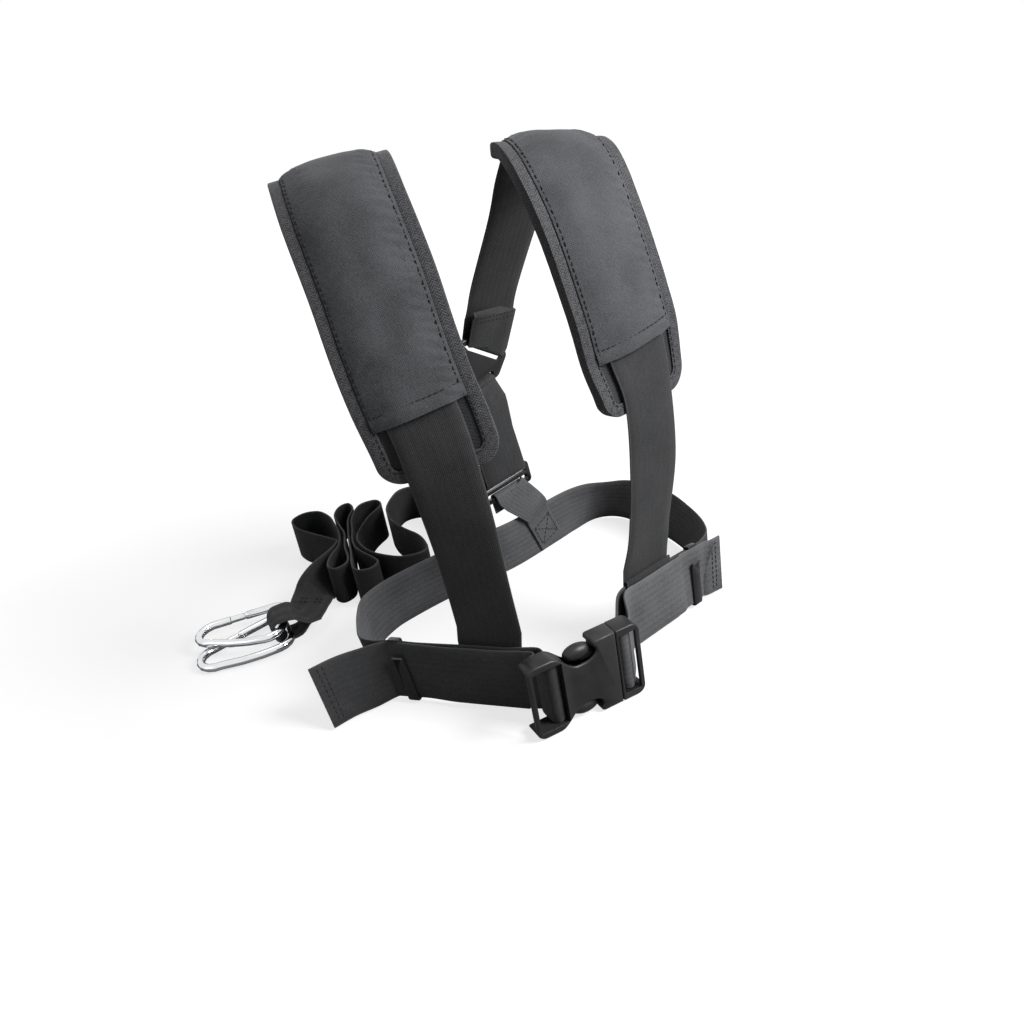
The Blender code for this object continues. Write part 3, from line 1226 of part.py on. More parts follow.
def lengthwise(size, middle, towards):
    """A box whose length lies along a direction in the hook's plane"""
    bm = rounded_box(size, SLOT_ROUND)
    turn = Vector((1, 0, 0)).rotation_difference(towards).to_matrix()
    bmesh.ops.rotate(bm, verts=bm.verts, matrix=turn, cent=(0, 0, 0))
    bmesh.ops.translate(bm, verts=bm.verts, vec=middle)
    return bm


def hook(label, apex, along, tilt):
    """apex is the middle of the straight end that lies in the eye"""
    across = Vector((-along.y, along.x, 0)).normalized()
    dip = (along * math.cos(tilt) - up_axis * math.sin(tilt)).normalized()
    normal = dip.cross(across).normalized()
    place = Matrix.Translation(apex) @ Matrix((dip, across, normal)).transposed().to_4x4()
    path = hook_path()
    pivot, nose = Vector((*path[-1], 0)), Vector((*path[0], 0))
    reach = (nose - pivot).normalized()
    # The rod's end is round about the pivot, so that the gate swings past it
    round_end = [(math.sin(RIGHT_ANGLE * f), math.cos(RIGHT_ANGLE * f)) for f in (0.33, 0.62, 0.86)]
    path += [(pivot.x + reach.x * ROD_RADIUS * x, pivot.y + reach.y * ROD_RADIUS * x) for x, w in round_end]
    flatten = [1] * (len(path) - len(round_end)) + [w for x, w in round_end]
    body = finish("hook_" + label, rod(path, ROD_RADIUS, flatten), steel)
    fork = 2 * ROD_RADIUS
    # A slot across the rod's end takes the gate's flat tongue, a drilled hole takes the rivet
    slot_back = TONGUE_BITE + SLOT_ROUND + LAYER_GAP
    slot_length = slot_back + fork
    slot_middle = pivot + reach * (slot_length / 2 - slot_back)
    tool = lengthwise((slot_length, fork * 2, SLOT_WIDTH), slot_middle, reach)
    boolean(body, cutter("fork", tool), "DIFFERENCE")
    boolean(body, cutter("rivet_hole", cylinder(RIVET_RADIUS, fork * 2, (0, 0, 1), pivot, 16)), "DIFFERENCE")
    settle(body, place)
    # The rivet is a hair smaller than its hole
    pin = cylinder(RIVET_RADIUS - RIVET_PLAY, fork * 0.9, (0, 0, 1), pivot, 16, RIVET_BEVEL)
    bmesh.ops.transform(pin, matrix=place, verts=pin.verts)
    finish("gate_pin_" + label, pin, steel)
    # The gate: a round rod with a flat tongue that turns in the fork
    start = pivot + reach * (ROD_RADIUS + GATE_GAP)
    end = nose - reach * NOSE_GAP
    gate = finish("gate_" + label, rod([(start.x, start.y), (end.x, end.y)], GATE_RADIUS), steel)
    tongue_length = TONGUE_BITE + (start - pivot).length + GATE_RADIUS
    tongue_middle = pivot + reach * (tongue_length / 2 - TONGUE_BITE)
    tongue = lengthwise((tongue_length, TONGUE_WIDTH, SLOT_WIDTH - 2 * SLOT_PLAY), tongue_middle, reach)
    boolean(gate, cutter("tongue", tongue), "UNION")
    pin_hole = cylinder(RIVET_RADIUS + RIVET_PLAY, fork * 2, (0, 0, 1), pivot, 16)
    boolean(gate, cutter("pin_hole", pin_hole), "DIFFERENCE")
    origin = place @ pivot
    settle(gate, place, origin)
    JOINT_PLACES.append(("gate_" + label, origin, normal))
    JOINT_PLACES.append(("hook_" + label, apex, across * -1))


FRONT_HOOK_HEADING = math.radians(202)
REAR_HOOK_HEADING = math.radians(178)
FRONT_HOOK_TILT = math.radians(1.4)
REAR_HOOK_TILT = math.radians(2.2)
HOOK_RISE = 0.0016
front_apex = eye_middle + EYE_AHEAD * APEX_AHEAD
front_apex.z = WEBBING_THICKNESS + TOUCH_GAP + ROD_RADIUS
rear_apex = eye_middle + EYE_AHEAD * APEX_AHEAD + EYE_SIDE * APEX_ASIDE
rear_apex.z = front_apex.z + 2 * ROD_RADIUS + HOOK_RISE
hook("front", front_apex, heading(FRONT_HOOK_HEADING), FRONT_HOOK_TILT)
hook("rear", rear_apex, heading(REAR_HOOK_HEADING), REAR_HOOK_TILT)


# Every piece moves so that the worn part's footprint is centred on the origin

CORD_PREFIXES = ("pull_", "hook_", "gate_")
low = Vector((1, 1, 1))
high = Vector((-1, -1, -1))
for thing in OBJECT.objects:
    if not thing.name.startswith(CORD_PREFIXES):
        for v in thing.data.vertices:
            q = v.co + thing.location
            low = Vector(map(min, low, q))
            high = Vector(map(max, high, q))
shift = Vector((-(low.x + high.x) / 2, -(low.y + high.y) / 2, -low.z))
for thing in OBJECT.objects:
    thing.location = thing.location + shift
for name, place, axis in JOINT_PLACES:
    print("joint", name, "at", [round(v, 5) for v in place + shift], "axis", [round(v, 5) for v in axis])
print("worn part from", [round(v, 4) for v in low], "to", [round(v, 4) for v in high])
print("shift", [round(v, 5) for v in shift])
print("faces", sum(len(p.vertices) - 2 for o in OBJECT.objects for p in o.data.polygons))
for thing in OBJECT.objects:
    print("node", thing.name, sum(len(p.vertices) - 2 for p in thing.data.polygons))
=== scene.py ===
"""Looks for the resistance sprint trainer: camera, light, webbing, pads, plastic and steel"""
import json
import math

import bmesh
import bpy
from mathutils import Matrix, Vector, noise

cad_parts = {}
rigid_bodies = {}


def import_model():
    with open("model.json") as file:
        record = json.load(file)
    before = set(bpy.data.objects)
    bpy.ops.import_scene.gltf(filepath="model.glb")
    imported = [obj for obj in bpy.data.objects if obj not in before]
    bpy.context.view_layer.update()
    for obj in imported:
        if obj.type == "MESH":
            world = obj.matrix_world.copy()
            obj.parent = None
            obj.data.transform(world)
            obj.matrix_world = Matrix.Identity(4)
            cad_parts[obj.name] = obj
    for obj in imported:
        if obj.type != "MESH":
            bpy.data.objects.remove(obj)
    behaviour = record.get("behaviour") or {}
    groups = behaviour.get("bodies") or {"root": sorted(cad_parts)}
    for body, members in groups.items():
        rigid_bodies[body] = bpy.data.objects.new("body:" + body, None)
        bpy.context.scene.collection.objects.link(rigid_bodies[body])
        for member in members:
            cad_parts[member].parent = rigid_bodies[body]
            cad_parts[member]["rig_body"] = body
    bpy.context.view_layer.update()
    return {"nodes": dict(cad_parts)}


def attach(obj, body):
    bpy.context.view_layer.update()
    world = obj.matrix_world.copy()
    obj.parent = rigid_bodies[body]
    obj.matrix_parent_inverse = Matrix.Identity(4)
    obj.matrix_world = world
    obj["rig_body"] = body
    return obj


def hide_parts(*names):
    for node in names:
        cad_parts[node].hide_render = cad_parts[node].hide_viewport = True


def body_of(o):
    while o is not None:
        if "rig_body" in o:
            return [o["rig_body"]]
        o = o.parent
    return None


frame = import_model()
RIGHT_ANGLE = math.pi / 2
UP = Vector((0, 0, 1))

# Camera, in the row frame, metres and degrees

SHIFT = Vector((0.00437, -0.00782, 0.00074))
CAMERA_PLACE = Vector((0.0, -0.67465, 0.45225)) + SHIFT
CAMERA_DOWN = 27.0
CAMERA_ROLL = 10.5
SENSOR = 36.0
LENS = 33.4

camera = bpy.data.objects.new("camera", bpy.data.cameras.new("camera"))
camera.data.sensor_width = SENSOR
camera.data.lens = LENS
camera.data.clip_start = 0.01
camera.matrix_world = (Matrix.Translation(CAMERA_PLACE)
                       @ Matrix.Rotation(RIGHT_ANGLE - math.radians(CAMERA_DOWN), 4, "X")
                       @ Matrix.Rotation(-math.radians(CAMERA_ROLL), 4, "Z"))
bpy.context.scene.collection.objects.link(camera)
bpy.context.scene.camera = camera
bpy.context.scene.view_settings.view_transform = "Standard"

# Sizes shared with the solids

WEBBING_WIDTH = 0.050
WEBBING_THICKNESS = 0.0016
FACE = WEBBING_THICKNESS / 2
LAYER_GAP = 0.0004
TOUCH_GAP = 0.0003
PULL_WIDTH = 0.038
EYE_WIDTH = 0.027
PAD_WIDTH = 0.085
BODY = "harness"

# Routes, metres: middle x, y, z, then the width's lean for each metre up
BELT_ROUTE = [
    (0.0008, -0.1157, 0.031, -0.02, 0.05), (-0.011, -0.1104, 0.0302, -0.02, 0.05),
    (-0.023, -0.1052, 0.0292, -0.02, 0.05), (-0.036, -0.0994, 0.029, -0.02, 0.05),
    (-0.05, -0.0932, 0.029, -0.02, 0.05), (-0.067, -0.0855, 0.0285, 0, 0.03),
    (-0.09, -0.075, 0.028, 0, 0.02), (-0.107, -0.0675, 0.028, -0.06, 0.08),
    (-0.121, -0.0605, 0.027, -0.15, 0.1), (-0.1305, -0.05, 0.026, -0.16, 0.04),
    (-0.135, -0.034, 0.0252, -0.1, 0), (-0.1375, -0.011, 0.025, -0.05, 0),
    (-0.134, 0.01, 0.025, -0.1, -0.05), (-0.121, 0.029, 0.025, -0.15, -0.15),
    (-0.104, 0.043, 0.025, -0.15, -0.15), (-0.073, 0.0625, 0.025, -0.08, -0.12),
    (-0.036, 0.082, 0.025, -0.02, -0.08), (-0.002, 0.1, 0.025, 0, -0.1),
    (0.033, 0.127, 0.025, -0.05, -0.14), (0.06, 0.146, 0.025, -0.02, -0.2),
    (0.084, 0.1555, 0.0245, 0.05, -0.36), (0.107, 0.149, 0.024, 0.12, -0.42),
    (0.129, 0.125, 0.0245, 0.14, -0.2), (0.144, 0.096, 0.025, 0.08, -0.08),
    (0.1535, 0.064, 0.025, 0.04, -0.02), (0.158, 0.038, 0.0255, 0.02, 0),
    (0.157, 0.016, 0.0265, 0.02, 0), (0.151, 0.002, 0.0276, 0.02, 0), (0.142, -0.0086, 0.0282, 0, 0.02),
    (0.128, -0.0187, 0.0288, -0.04, 0.06), (0.112, -0.0302, 0.029, -0.06, 0.08),
    (0.097, -0.041, 0.029, -0.06, 0.08), (0.084, -0.0506, 0.0294, -0.06, 0.08),
    (0.0745, -0.0576, 0.03, -0.06, 0.08), (0.0675, -0.0685, 0.031, -0.03, 0.04),
]
TAIL_LEFT_ROUTE = [
    (-0.134, -0.07, 0.0255, -0.22, 0.22), (-0.151, -0.075, 0.025, -0.2, 0.3),
    (-0.168, -0.084, 0.0244, -0.16, 0.4),
]
TAIL_RIGHT_ROUTE = [
    (0.151, -0.006, 0.0268, 0, 0.02), (0.1575, -0.0022, 0.0262, 0, 0.02),
    (0.164, 0.0016, 0.0258, 0, 0.04),
]
# Middle x, y, z, then the yaw and tilt of the width, degrees
STRAP_LEFT_ROUTE = [
    (-0.032, -0.0998, 0.069, -24, 4), (-0.0338, -0.1006, 0.108, -24, 7),
    (-0.036, -0.0985, 0.146, -18, 7), (-0.0394, -0.0947, 0.183, -9, 7), (-0.0436, -0.0896, 0.218, 1, 8),
    (-0.0506, -0.0841, 0.252, 5, 8), (-0.0559, -0.0766, 0.283, 5, 8), (-0.062, -0.0612, 0.322, 4, 9),
    (-0.072, -0.0309, 0.364, 4, 8), (-0.079, 0.006, 0.3855, 7, 5), (-0.084, 0.038, 0.382, 11, 4),
    (-0.086, 0.062, 0.365, 15, 4), (-0.085, 0.08, 0.338, 20, 7), (-0.078, 0.09, 0.303, 28, 13),
    (-0.067, 0.091, 0.268, 36, 18), (-0.056, 0.088, 0.242, 41, 22),
]
STRAP_RIGHT_ROUTE = [
    (0.0958, -0.0385, 0.066, 36, -3), (0.101, -0.042, 0.095, 42, -13), (0.109, -0.0434, 0.149, 37, -8),
    (0.111, -0.041, 0.203, 38, -4), (0.106, -0.0397, 0.24, 30, 6), (0.102, -0.0399, 0.267, 31, 7),
    (0.0975, -0.0389, 0.292, 31.7, 6), (0.0895, -0.0317, 0.332, 31, 0), (0.081, -0.0106, 0.364, 25, -5),
    (0.074, 0.019, 0.377, 21, -8), (0.066, 0.046, 0.371, 22, -8), (0.056, 0.068, 0.35, 26, -8),
    (0.044, 0.087, 0.318, 33, -10), (0.021, 0.109, 0.264, 40, -20), (0.011, 0.1155, 0.236, 41, -28),
]
BACK_STRAP_ROUTE = [
    (-0.005, 0.112, 0.158, 42, 2), (-0.004, 0.108, 0.132, 42, -1),
]
# The pull strap on its edge, then its run to the hooks with the width's direction
PULL_ROUTE = [
    (-0.0059, 0.1024, 0.0194), (-0.0124, 0.0999, 0.0194), (-0.0194, 0.1002, 0.0194),
    (-0.0266, 0.1068, 0.0194), (-0.035, 0.124, 0.0194), (-0.048, 0.158, 0.0194),
    (-0.066, 0.193, 0.0194), (-0.0824, 0.2221, 0.0194), (-0.0959, 0.2378, 0.0194),
    (-0.1121, 0.2362, 0.0194), (-0.1207, 0.2201, 0.0194), (-0.1249, 0.1959, 0.0194),
    (-0.1181, 0.1677, 0.0194), (-0.106, 0.1472, 0.0194), (-0.0917, 0.1283, 0.0194),
    (-0.0848, 0.1109, 0.0194), (-0.0833, 0.098, 0.0194), (-0.0919, 0.0916, 0.0194),
    (-0.1069, 0.0913, 0.0194), (-0.1209, 0.0987, 0.0194), (-0.1354, 0.1106, 0.0194),
    (-0.1465, 0.1278, 0.0194), (-0.1521, 0.1469, 0.0194), (-0.1487, 0.1682, 0.0194),
    (-0.1417, 0.1893, 0.0194), (-0.1323, 0.2059, 0.0194), (-0.1326, 0.2165, 0.0194),
    (-0.1394, 0.2228, 0.0194), (-0.152, 0.2194, 0.0194), (-0.158, 0.2074, 0.0194),
    (-0.1602, 0.1874, 0.0194), (-0.158, 0.1647, 0.0194), (-0.1567, 0.1451, 0.0194),
    (-0.1529, 0.1284, 0.0194), (-0.1444, 0.1135, 0.0194), (-0.1347, 0.101, 0.0194),
    (-0.129, 0.0902, 0.0194), (-0.1354, 0.0802, 0.0194), (-0.1471, 0.0809, 0.0194),
    (-0.1532, 0.0914, 0.0194), (-0.156, 0.1159, 0.0194), (-0.16, 0.1453, 0.0194),
    (-0.1623, 0.165, 0.0194), (-0.164, 0.1912, 0.0194), (-0.1608, 0.2126, 0.0194),
    (-0.1666, 0.2264, 0.0194), (-0.1757, 0.2216, 0.0194), (-0.1792, 0.2039, 0.0194),
    (-0.1722, 0.1801, 0.0194), (-0.1659, 0.1617, 0.0194), (-0.1643, 0.1447, 0.0194),
    (-0.1625, 0.1283, 0.0194), (-0.1587, 0.1129, 0.0194), (-0.1591, 0.099, 0.0194),
    (-0.1685, 0.0913, 0.0194), (-0.1766, 0.0993, 0.0194), (-0.1758, 0.1177, 0.0194),
    (-0.1704, 0.1331, 0.0194), (-0.1694, 0.1453, 0.0194), (-0.1709, 0.1626, 0.0194),
    (-0.1781, 0.1864, 0.0194), (-0.1848, 0.2044, 0.0194), (-0.1976, 0.2202, 0.0194),
    (-0.2139, 0.2216, 0.0194), (-0.2237, 0.2091, 0.0194), (-0.216, 0.19, 0.0194),
    (-0.1998, 0.1731, 0.0194), (-0.185, 0.16, 0.0194), (-0.1738, 0.1495, 0.0194),
    (-0.172, 0.1447, 0.0194), (-0.1753, 0.1347, 0.0196),
]
PULL_RUN_ROUTE = [
    (-0.181, 0.121, 0.0194, -0.08, 0.22, 0.97), (-0.188, 0.106, 0.0186, -0.25, 0.5, 0.8),
    (-0.195, 0.088, 0.015, -0.4, 0.88, 0.22),
]


# Routes and strips

def curve_through(rows, steps):
    """A smooth curve through every row of numbers"""
    rows = [list(r) for r in rows]
    first = [2 * a - b for a, b in zip(rows[0], rows[1])]
    last = [2 * a - b for a, b in zip(rows[-1], rows[-2])]
    p = [first] + rows + [last]
    out = []
    for i in range(len(rows) - 1):
        for k in range(steps):
            t = k / steps
            out.append([
                0.5 * (2 * b + (c - a) * t + (2 * a - 5 * b + 4 * c - d) * t * t
                       + (3 * b - a - 3 * c + d) * t ** 3)
                for a, b, c, d in zip(p[i], p[i + 1], p[i + 2], p[i + 3])])
    out.append(rows[-1])
    return out


class Route:
    """Points with a width direction; frames are tangent, across and outward"""

    def __init__(self, points, across):
        self.p = [Vector(q) for q in points]
        self.t, self.w, self.n, self.s = [], [], [], [0.0]
        for i in range(len(self.p)):
            ahead = self.p[min(i + 1, len(self.p) - 1)] - self.p[i]
            behind = self.p[i] - self.p[max(i - 1, 0)]
            t = ahead.normalized() + behind.normalized()
            t.normalize()
            w = Vector(across[i])
            w = (w - w.dot(t) * t).normalized()
            self.t.append(t)
            self.w.append(w)
            self.n.append(w.cross(t).normalized())
        for a, b in zip(self.p, self.p[1:]):
            self.s.append(self.s[-1] + (b - a).length)

    def length(self):
        return self.s[-1]

    def at(self, s):
        s = min(max(s, 0.0), self.s[-1])
        i = 0
        while i < len(self.s) - 2 and self.s[i + 1] < s:
            i += 1
        f = (s - self.s[i]) / max(self.s[i + 1] - self.s[i], 1e-9)
        mix = [a[i].lerp(a[i + 1], f) for a in (self.p, self.t, self.w, self.n)]
        return mix[0], mix[1].normalized(), mix[2].normalized(), mix[3].normalized()

    def put(self, s, x, h):
        """A point s along, x across and h outwards"""
        p, t, w, n = self.at(s)
        over = s - min(max(s, 0.0), self.s[-1])
        return p + t * over + w * x + n * h


def heading(angle):
    return Vector((math.cos(angle), math.sin(angle), 0))


# Node materials

CHEVRON_WIDTH = 0.0052
TWILL_PITCH = 0.0016
RIB_PITCH = 0.0052
THREAD_PITCH = 0.0013
THREAD_DEPTH = 0.00016
EDGE_LINE = 0.0014
HERRINGBONE_WIDTH = 0.0050
HERRINGBONE_PITCH = 0.0021
EDGE_SOFTNESS = 0.0006


class Nodes:
    """Builds a material's nodes; every method returns an output socket"""

    def __init__(self, name):
        self.made = bpy.data.materials.new(name)
        self.made.use_nodes = True
        self.tree = self.made.node_tree
        self.shader = self.tree.nodes["Principled BSDF"]

    def node(self, kind, **settings):
        made = self.tree.nodes.new(kind)
        for key, value in settings.items():
            setattr(made, key, value)
        return made

    def feed(self, socket, value):
        if isinstance(value, bpy.types.NodeSocket):
            self.tree.links.new(value, socket)
        else:
            socket.default_value = value

    def math(self, operation, *values):
        made = self.node("ShaderNodeMath", operation=operation)
        for socket, value in zip(made.inputs, values):
            self.feed(socket, value)
        return made.outputs[0]

    def ramp(self, value, low, high, out_low=0.0, out_high=1.0):
        made = self.node("ShaderNodeMapRange")
        for socket, v in zip(made.inputs, (value, low, high, out_low, out_high)):
            self.feed(socket, v)
        return made.outputs[0]

    def mix(self, factor, a, b):
        made = self.node("ShaderNodeMix", data_type="RGBA")
        for key, v in (("Factor", factor), ("A", a), ("B", b)):
            sockets = [s for s in made.inputs if s.name == key and s.enabled]
            self.feed(sockets[0], (*v, 1) if isinstance(v, tuple) else v)
        return [s for s in made.outputs if s.enabled][0]

    def noise(self, scale, detail=3.0):
        made = self.node("ShaderNodeTexNoise")
        made.inputs["Scale"].default_value = scale
        made.inputs["Detail"].default_value = detail
        self.feed(made.inputs["Vector"], self.node("ShaderNodeTexCoord").outputs["Object"])
        return made.outputs["Fac"]

    def cloth_axes(self):
        """Distances along and across the cloth, metres"""
        axes = self.node("ShaderNodeSeparateXYZ")
        self.feed(axes.inputs[0], self.node("ShaderNodeUVMap", uv_map="weave").outputs[0])
        return axes.outputs[0], axes.outputs[1]

    def wave(self, value, pitch):
        return self.math("SINE", self.math("MULTIPLY", value, 2 * math.pi / pitch))

    def zigzag(self, value, pitch):
        return self.math("PINGPONG", value, pitch / 2)

    def bump(self, height, distance, strength=1.0, normal=None):
        made = self.node("ShaderNodeBump")
        made.inputs["Distance"].default_value = distance
        made.inputs["Strength"].default_value = strength
        self.feed(made.inputs["Height"], height)
        if normal is not None:
            self.feed(made.inputs["Normal"], normal)
        return made.outputs[0]

    def finish(self, **sockets):
        for key, value in sockets.items():
            socket = self.shader.inputs[key.replace("_", " ")]
            self.feed(socket, (*value, 1) if isinstance(value, tuple) else value)
        return self.made


def webbing_material(name, half, dark, light, edge, rib_depth=0.12):
    """Woven nylon: a fine chevron twill over lengthwise ribs, with a paler bound edge"""
    n = Nodes(name)
    along, across = n.cloth_axes()
    chevron = n.math("ADD", along, n.zigzag(across, CHEVRON_WIDTH))
    twill = n.ramp(n.wave(chevron, TWILL_PITCH), -1.0, 1.0)
    rib = n.ramp(n.wave(across, RIB_PITCH), -1.0, 1.0)
    thread = n.ramp(n.wave(across, THREAD_PITCH), -1.0, 1.0)
    height = n.math("ADD", n.math("MULTIPLY", twill, thread), n.math("MULTIPLY", rib, rib_depth))
    edge_line = n.ramp(n.math("ABSOLUTE", across), half - EDGE_LINE, half - EDGE_LINE * 0.5)
    patches = n.ramp(n.noise(38.0, 4.0), 0.3, 0.7)
    speckle = n.ramp(n.noise(1500.0, 2.0), 0.35, 0.7)
    tone = n.math("ADD", n.math("MULTIPLY", height, 0.45),
                  n.math("ADD", n.math("MULTIPLY", patches, 0.2), n.math("MULTIPLY", speckle, 0.35)))
    colour = n.mix(tone, dark, light)
    colour = n.mix(n.math("MULTIPLY", edge_line, 0.4), colour, edge)
    roughness = n.ramp(n.noise(160.0), 0.3, 0.7, 0.62, 0.78)
    normal = n.bump(height, THREAD_DEPTH, 0.8)
    n.finish(Base_Color=colour, Roughness=roughness, Normal=normal, Specular_IOR_Level=0.22,
             Sheen_Weight=0.12, Sheen_Roughness=0.4)
    return n.made


def cloth_material(name, dark, light, pitch, depth):
    """Plain oxford weave with fine slubs and a faint mottling"""
    n = Nodes(name)
    along, across = n.cloth_axes()
    warp, weft = n.wave(along, pitch), n.wave(across, pitch)
    weave = n.ramp(n.math("MULTIPLY", warp, weft), -1.0, 1.0)
    slub = n.ramp(n.noise(1100.0, 2.0), 0.35, 0.68)
    mottle = n.ramp(n.noise(32.0, 4.0), 0.3, 0.7)
    tone = n.math("ADD", n.math("MULTIPLY", weave, 0.2),
                  n.math("ADD", n.math("MULTIPLY", slub, 0.45), n.math("MULTIPLY", mottle, 0.35)))
    soft = n.bump(n.noise(120.0, 3.0), depth * 4.0, 0.5)
    normal = n.bump(n.math("ADD", weave, n.math("MULTIPLY", slub, 0.4)), depth, 0.8, soft)
    roughness = n.ramp(slub, 0.0, 1.0, 0.72, 0.9)
    n.finish(Base_Color=n.mix(tone, dark, light), Roughness=roughness, Normal=normal, Specular_IOR_Level=0.15,
             Sheen_Weight=0.1, Sheen_Roughness=0.5)
    return n.made


def tape_material(name, dark, light):
    """Herringbone binding tape"""
    n = Nodes(name)
    along, across = n.cloth_axes()
    slant = n.math("ADD", along, n.zigzag(across, HERRINGBONE_WIDTH))
    twill = n.ramp(n.wave(slant, HERRINGBONE_PITCH), -1.0, 1.0)
    mottle = n.ramp(n.noise(500.0, 3.0), 0.3, 0.7)
    tone = n.math("ADD", n.math("MULTIPLY", twill, 0.5), n.math("MULTIPLY", mottle, 0.5))
    normal = n.bump(twill, THREAD_DEPTH, 0.8)
    n.finish(Base_Color=n.mix(tone, dark, light), Roughness=n.ramp(mottle, 0.0, 1.0, 0.65, 0.8),
             Normal=normal, Specular_IOR_Level=0.15, Sheen_Weight=0.1, Sheen_Roughness=0.45)
    return n.made


def plastic_material(name, base, mottle_and_edge_highlight, low, high, grain):
    """Moulded plastic: rounded edges whose colour is lightened on convex edges as a painted highlight, fine
    mould grain
    """
    n = Nodes(name)
    rounded = n.node("ShaderNodeBevel", samples=4)
    rounded.inputs["Radius"].default_value = EDGE_SOFTNESS
    # Convex edges lighten towards the second colour: a painted edge highlight
    pointy = n.ramp(n.node("ShaderNodeNewGeometry").outputs["Pointiness"], 0.52, 0.62)
    mottle = n.ramp(n.noise(70.0, 4.0), 0.3, 0.7)
    fine = n.noise(2600.0, 2.0)
    normal = n.bump(fine, 0.00006, grain, rounded.outputs[0])
    tone = n.math("ADD", n.math("MULTIPLY", pointy, 0.6), n.math("MULTIPLY", mottle, 0.2))
    n.finish(Base_Color=n.mix(tone, base, mottle_and_edge_highlight), Roughness=n.ramp(mottle, 0.0, 1.0, low, high), Normal=normal,
             Specular_IOR_Level=0.32)
    return n.made


def steel_material(name):
    """Polished steel with faint draw marks"""
    n = Nodes(name)
    marks = n.noise(900.0, 2.0)
    mottle = n.ramp(n.noise(55.0, 4.0), 0.3, 0.7)
    n.finish(Base_Color=n.mix(mottle, (0.70, 0.71, 0.73), (0.82, 0.83, 0.84)), Metallic=1.0,
             Roughness=n.ramp(mottle, 0.0, 1.0, 0.09, 0.17), Normal=n.bump(marks, 0.00004, 0.25))
    return n.made


belt_web = webbing_material("belt_webbing", WEBBING_WIDTH / 2, (0.012, 0.0122, 0.013), (0.060, 0.061, 0.064),
                            (0.09, 0.09, 0.093))
# A paler copy of the belt webbing for the belt's inner faces, the right tail and the tab: painted sheen and
# light
belt_web_painted_sheen = webbing_material("belt_webbing_painted_sheen", WEBBING_WIDTH / 2, (0.024, 0.0245, 0.0265),
                               (0.175, 0.177, 0.186), (0.15, 0.15, 0.155), 0.25)
strap_web = webbing_material("strap_webbing", WEBBING_WIDTH / 2, (0.009, 0.0092, 0.0098),
                             (0.052, 0.0525, 0.055), (0.075, 0.075, 0.078))
pull_web = webbing_material("pull_webbing", PULL_WIDTH / 2, (0.008, 0.0081, 0.0088), (0.040, 0.0405, 0.043),
                            (0.085, 0.085, 0.088), 0.15)
cover_cloth = cloth_material("cover_cloth", (0.030, 0.0305, 0.033), (0.100, 0.102, 0.109), 0.0016, 0.00018)
lining_cloth = cloth_material("lining_cloth", (0.016, 0.016, 0.018), (0.046, 0.047, 0.050), 0.0024, 0.0003)
binding_tape = tape_material("binding_tape", (0.007, 0.007, 0.0076), (0.105, 0.106, 0.112))
thread = cloth_material("thread", (0.010, 0.010, 0.011), (0.040, 0.040, 0.043), 0.0009, 0.0001)
# The second colour of each plastic serves its paler mottle and its painted edge highlight
satin_black = plastic_material("satin_black", (0.008, 0.008, 0.0086), (0.045, 0.045, 0.047), 0.32, 0.44, 0.5)
gloss_black = plastic_material("gloss_black", (0.007, 0.007, 0.008), (0.03, 0.03, 0.032), 0.14, 0.24, 0.15)
steel = steel_material("steel")


# Meshes

SHARP_ANGLE = math.radians(42)


def place_mesh(name, bm, mat, body=BODY, shift=SHIFT):
    """Puts a mesh into the row frame and lets it ride on its body"""
    bmesh.ops.recalc_face_normals(bm, faces=bm.faces)
    bmesh.ops.translate(bm, verts=bm.verts, vec=shift)
    mesh = bpy.data.meshes.new(name)
    bm.to_mesh(mesh)
    bm.free()
    mesh.materials.append(mat)
    mesh.polygons.foreach_set("use_smooth", [True] * len(mesh.polygons))
    mesh.set_sharp_from_angle(angle=SHARP_ANGLE)
    made = bpy.data.objects.new(name, mesh)
    bpy.context.scene.collection.objects.link(made)
    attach(made, body)
    return made


def sweep(bm, rings, along, across, closed=False):
    """Joins rings of points into a skin; along and across are each point's place on the cloth"""
    uv = bm.loops.layers.uv.verify()
    rows = [[bm.verts.new(q) for q in ring] for ring in rings]
    count = len(rows)
    size = len(rows[0])
    last = count if closed else count - 1
    for i in range(last):
        j = (i + 1) % count
        for k in range(size):
            m = (k + 1) % size
            face = bm.faces.new((rows[i][k], rows[i][m], rows[j][m], rows[j][k]))
            span = along[j] if j else along[-1] + (along[-1] - along[-2])
            wrap = across[m] if m else across[k]
            for loop, place in zip(face.loops, ((along[i], across[k]), (along[i], wrap), (span, wrap),
                                                (span, across[k]))):
                loop[uv].uv = place
    if not closed:
        for row, u in ((rows[0], along[0]), (rows[-1], along[-1])):
            face = bm.faces.new(row)
            for loop in face.loops:
                loop[uv].uv = (u, across[row.index(loop.vert)])


def new_mesh():
    bm = bmesh.new()
    bm.loops.layers.uv.new("weave")
    return bm


def strip_profile(width, thickness, columns=6):
    """A flat section with round edges, as points across and outwards"""
    half, h = width / 2, thickness / 2
    inner = half - h * 0.8
    xs = [-inner + 2 * inner * k / columns for k in range(columns + 1)]
    section = [(-half, -h * 0.45)] + [(x, -h) for x in xs] + [(half, -h * 0.45), (half, h * 0.45)]
    section += [(x, h) for x in reversed(xs)] + [(-half, h * 0.45)]
    return section


